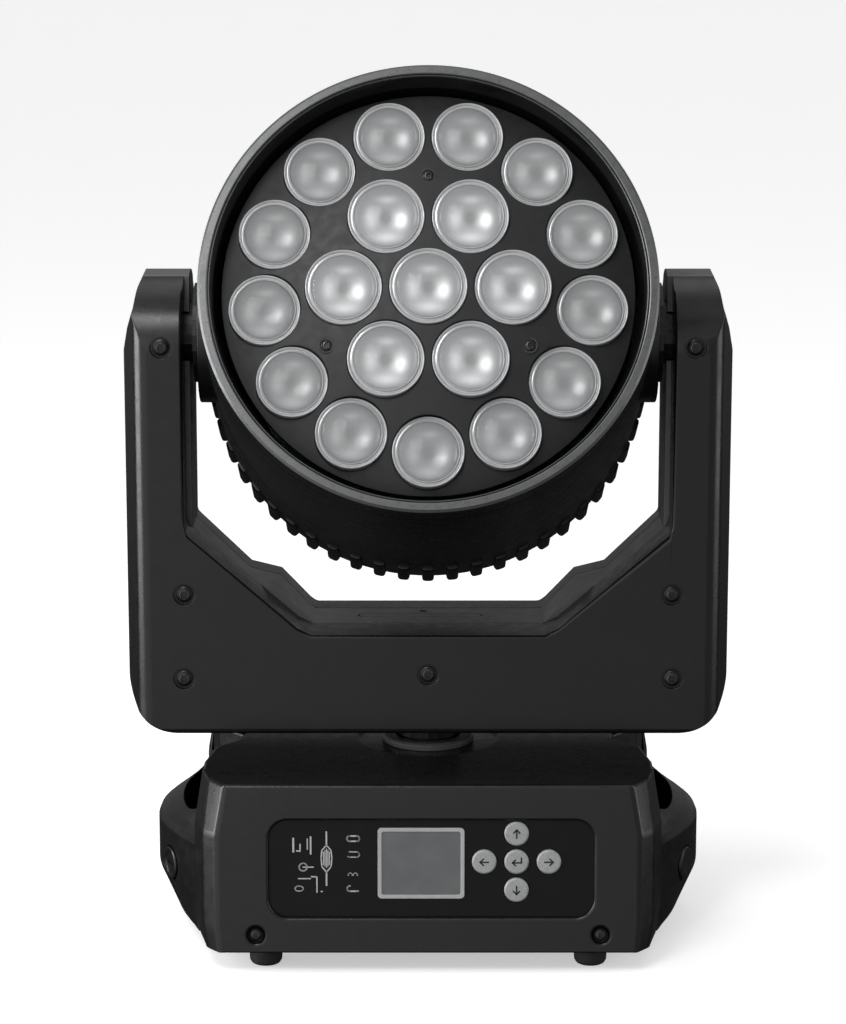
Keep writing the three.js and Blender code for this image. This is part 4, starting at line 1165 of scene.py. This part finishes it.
def make_shroud(look):
    back = BEZEL["joint"] - 0.2
    skin = turned(fillet([(138.8, back), (141.7, back), (142, back - 1.5), (143.5, -52.5), (143.5, -55),
                          (140.5, -55), (139, back - 2)], [0, 0.3, 0, 0.3, 0.8, 0, 0], 3), 192)
    bosses = []
    for side in (-1, 1):
        boss = softened(prism(circle(45, sides=96), *sorted((side * 132, side * 146.4)), "x"), 1,
                        None, 3, 40)
        inside = turned([(0, 101), (141.0, 101), (141.0, -51), (0, -51)], 96)
        bosses.append(cut(boss, inside))
    groove = turned([(143.0, -48), (144, -48), (144, -49.2), (143.0, -49.2)], 192)
    piece("head_casing", [(joined(cut(skin, groove), *bosses), look["casing"])], "head",
          ["head_shroud"], HEAD)


def make_ribs(look):
    teeth = []
    pitch = TURN / RIBS["count"]
    half = 4.2 / RIBS["tip"]
    rise = RIBS["tip"] - RIBS["root"]
    profile = ((-1.2, 0), (-1.0, 0.15), (-0.94, 0.6), (-0.78, 0.88), (-0.45, 1))
    profile = [*profile, *[(-across, up) for across, up in reversed(profile)]]
    for i in range(RIBS["count"]):
        a = i * pitch
        teeth += [((RIBS["root"] + rise * up) * math.cos(a + half * across),
                   (RIBS["root"] + rise * up) * math.sin(a + half * across))
                  for across, up in profile]
    ends = ((0, 0.991), (0.4, 0.996), (1.2, 1))
    rows = [(-RIBS["front"] + step, scale) for step, scale in ends]
    rows += [(-RIBS["rear"] - step, scale) for step, scale in reversed(ends)]
    solid = loft([[(x * scale, y, z * scale) for x, z in teeth] for y, scale in rows])
    bore = prism(circle(RIBS["inner"], sides=96), 0, 120, "y")
    piece("rib_band", [(cut(solid, bore), look["ribs"])], "head", ["rear_housing"], HEAD)


def make_cap(look):
    f, b = CAP["front"], CAP["rear"]
    profile = fillet([(142, f), (137, f - 16), (128, f - 27), (110, b), (46, b), (46, b + 3),
                      (109, b + 3), (126.6, f - 24.3), (134, f - 16), (139, f)],
                     [0.5, 10, 10, 8, 0.5, 0, 0, 0, 0, 0], 5)
    slots = [moved(prism(rectangle(82, 0, 36, 5, 2.4), -b - 10, -b + 5, "y"),
                   Matrix.Rotation(TURN * (k + SLOT_TURN) / SLOTS, 4, "Y")) for k in range(SLOTS)]
    cap = softened(cut(turned(profile, 144), *slots), 0.5, None, 2, 40)
    piece("head_rear_cap", [(moved(cap, HEAD), look["casing"])], "head", ["rear_cap"])


def make_fan(look):
    b = CAP["rear"]
    wires = [turned(circle(0.9, r, b + 1.5, 10), 96) for r in (43.6, 36, 29, 22, 15)]
    middle = turned(fillet([(0, b + 2.5), (8.5, b + 2.5), (8.5, b + 0.8), (7.6, b + 0.4),
                            (0, b + 0.4)], [0, 0.2, 0.3, 0.3, 0], 2), 48)
    struts = [moved(prism(circle(0.9, 0, 0, 10), 6, 44.5, "x"),
                    Matrix.Rotation(TURN / 8 + TURN * k / 4, 4, "Y") @ at(0, -b - 2.7, 0))
              for k in range(4)]
    piece("fan_guard", [(joined(*wires, middle, *struts), look["steel"])], "head",
          ["fan_grille"], HEAD)

    blades = []
    for k in range(7):
        rings = []
        for i in range(7):
            r = 15 + 25 * i / 6
            lead, chord = 0.15 * i / 6, 15 - 1.5 * i / 6
            pitch = math.radians(48 - 20 * i / 6)
            line = [(-chord / 2, 0), (0, -1.4), (chord / 2, 0), (chord / 2, 0.8), (0, -0.2),
                    (-chord / 2, 0.9)]
            rings.append([(r * math.cos(lead + u * math.cos(pitch) / r),
                           FAN_Y + u * math.sin(pitch) + t,
                           r * math.sin(lead + u * math.cos(pitch) / r)) for u, t in line])
        blades.append(moved(loft(rings), Matrix.Rotation(TURN * k / 7, 4, "Y")))
    hub = turned(fillet([(0, 9 - FAN_Y), (18, 9 - FAN_Y), (18, -8 - FAN_Y), (16.5, -9 - FAN_Y),
                         (0, -9 - FAN_Y)], [0, 1, 0.6, 0.8, 0], 3), 64)
    piece("fan_blades", [(joined(hub, *blades), look["socket"])], "fan",
          ["fan_rotor"], HEAD)


# ---- CAD nodes
def dress_cad(look):
    """Give each CAD node that stays visible its own procedural finish."""
    wear = {"sheet": ("base_chassis", "power_supply"), "circuit": ("control_board", "led_board"),
            "motor": ("pan_motor", "tilt_motor", "zoom_actuator_1", "zoom_actuator_2",
                      "zoom_actuator_3"),
            "alloy": ("pan_motor_pulley", "tilt_motor_pulley", "pan_driven_pulley",
                      "tilt_driven_pulley", "heat_sink"),
            "steel": ("pan_bearing", "tilt_bearing_left", "tilt_bearing_right", "zoom_rod_1",
                      "zoom_rod_2", "zoom_rod_3"),
            "dark_steel": ("pan_spindle", "tilt_hub_left", "tilt_hub_right"),
            "rubber": ("pan_belt", "tilt_belt"), "socket": ("fan_frame",)}
    finish_of = {name: key for key, names in wear.items() for name in names}
    for name, node in frame["nodes"].items():
        node.data.materials.clear()
        node.data.materials.append(look[finish_of.get(name, "casing")])


# ---- studio
def lamp(name, place, aim, width, height, power):
    data = bpy.data.lights.new(name, "AREA")
    data.shape = "RECTANGLE"
    data.size, data.size_y = width, height
    data.energy = power
    light = bpy.data.objects.new(name, data)
    light.location = place
    light.rotation_euler = (Vector(aim) - Vector(place)).to_track_quat("-Z", "Y").to_euler()
    bpy.context.scene.collection.objects.link(light)


def make_world():
    """A white studio: bright at eye level in front and all round behind, dim above, dark below."""
    world = bpy.data.worlds.new("studio")
    world.use_nodes = True
    bpy.context.scene.world = world
    tree = world.node_tree
    back = tree.nodes["Background"]
    back.inputs["Color"].default_value = (1, 1, 1, 1)
    split = tree.nodes.new("ShaderNodeSeparateXYZ")
    tree.links.new(tree.nodes.new("ShaderNodeTexCoord").outputs["Generated"], split.inputs[0])

    def ranged(axis, start, end, low, high):
        node = tree.nodes.new("ShaderNodeMapRange")
        node.interpolation_type = "SMOOTHSTEP"
        for key, value in zip(("From Min", "From Max", "To Min", "To Max"),
                              (start, end, low, high)):
            node.inputs[key].default_value = value
        tree.links.new(split.outputs[axis], node.inputs["Value"])
        return node.outputs["Result"]

    def math_node(operation, *sources):
        node = tree.nodes.new("ShaderNodeMath")
        node.operation = operation
        for place, source in enumerate(sources):
            tree.links.new(source, node.inputs[place])
        return node.outputs[0]

    front = math_node("MULTIPLY", ranged("Z", -0.8, 0.1, 0.03, 1.0), ranged("Z", 0.25, 0.85, 1, 0.15))
    behind = math_node("MULTIPLY", ranged("Z", -0.3, 0.05, 0.03, 0.2), ranged("Z", 0.4, 1, 1, 0.7))
    side = ranged("X", -0.2, 0.2, 1.2, 0.4)
    blend = tree.nodes.new("ShaderNodeMix")
    tree.links.new(ranged("Y", -0.25, 0.35, 0, 1), blend.inputs["Factor"])
    tree.links.new(math_node("MULTIPLY", front, side), blend.inputs["A"])
    tree.links.new(behind, blend.inputs["B"])
    seen = tree.nodes.new("ShaderNodeMix")
    tree.links.new(tree.nodes.new("ShaderNodeLightPath").outputs["Is Camera Ray"],
                   seen.inputs["Factor"])
    tree.links.new(blend.outputs["Result"], seen.inputs["A"])
    seen.inputs["B"].default_value = 1.0
    tree.links.new(seen.outputs["Result"], back.inputs["Strength"])


def make_studio():
    floor_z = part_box("foot_front_left")[0].z
    size = 40
    mesh = bpy.data.meshes.new("floor")
    corners = [(-size, -size, floor_z), (size, -size, floor_z), (size, size, floor_z),
               (-size, size, floor_z)]
    mesh.from_pydata(corners, [], [(0, 1, 2, 3)])
    floor = bpy.data.objects.new("floor", mesh)
    bpy.context.scene.collection.objects.link(floor)
    paper = Finish("floor_paper", (0.93, 0.93, 0.93), 0.7, Emission_Color=(1, 1, 1, 1),
                   Emission_Strength=0.48, Specular_IOR_Level=0.0)
    mesh.materials.append(paper.mottle(60, (0.91, 0.91, 0.91), 0.6).material)
    floor.visible_glossy = False
    floor.visible_diffuse = False
    floor.visible_shadow = False

    make_world()
    aim = (0, 0, 0.25)
    lamp("softbox_left", (-1.8, -0.2, 0.6), aim, 0.7, 1.6, 26)
    lamp("softbox_right", (1.8, -0.15, 0.6), aim, 0.6, 1.6, 7)
    lamp("softbox_front", (-0.5, -1.15, 1.5), (0, 0, 0.45), 0.6, 0.5, 9)
    lamp("softbox_top", (-0.2, 0.5, 2.3), aim, 1.6, 1.2, 4)
    sky = bpy.data.lights.new("overhead", "SUN")
    sky.energy = 0.6
    sky.angle = math.radians(85)
    overhead = bpy.data.objects.new("overhead", sky)
    bpy.context.scene.collection.objects.link(overhead)
    bpy.context.scene.view_settings.view_transform = "Standard"


# ---- assembly
make_camera()
LOOK = make_finishes()
dress_cad(LOOK)
make_base(LOOK)
make_feet(LOOK)
make_handles(LOOK)
make_panel(LOOK)
make_rear(LOOK)
make_yoke(LOOK)
make_lenses(LOOK)
make_bezel(LOOK)
make_shroud(LOOK)
make_ribs(LOOK)
make_cap(LOOK)
make_fan(LOOK)
make_studio()
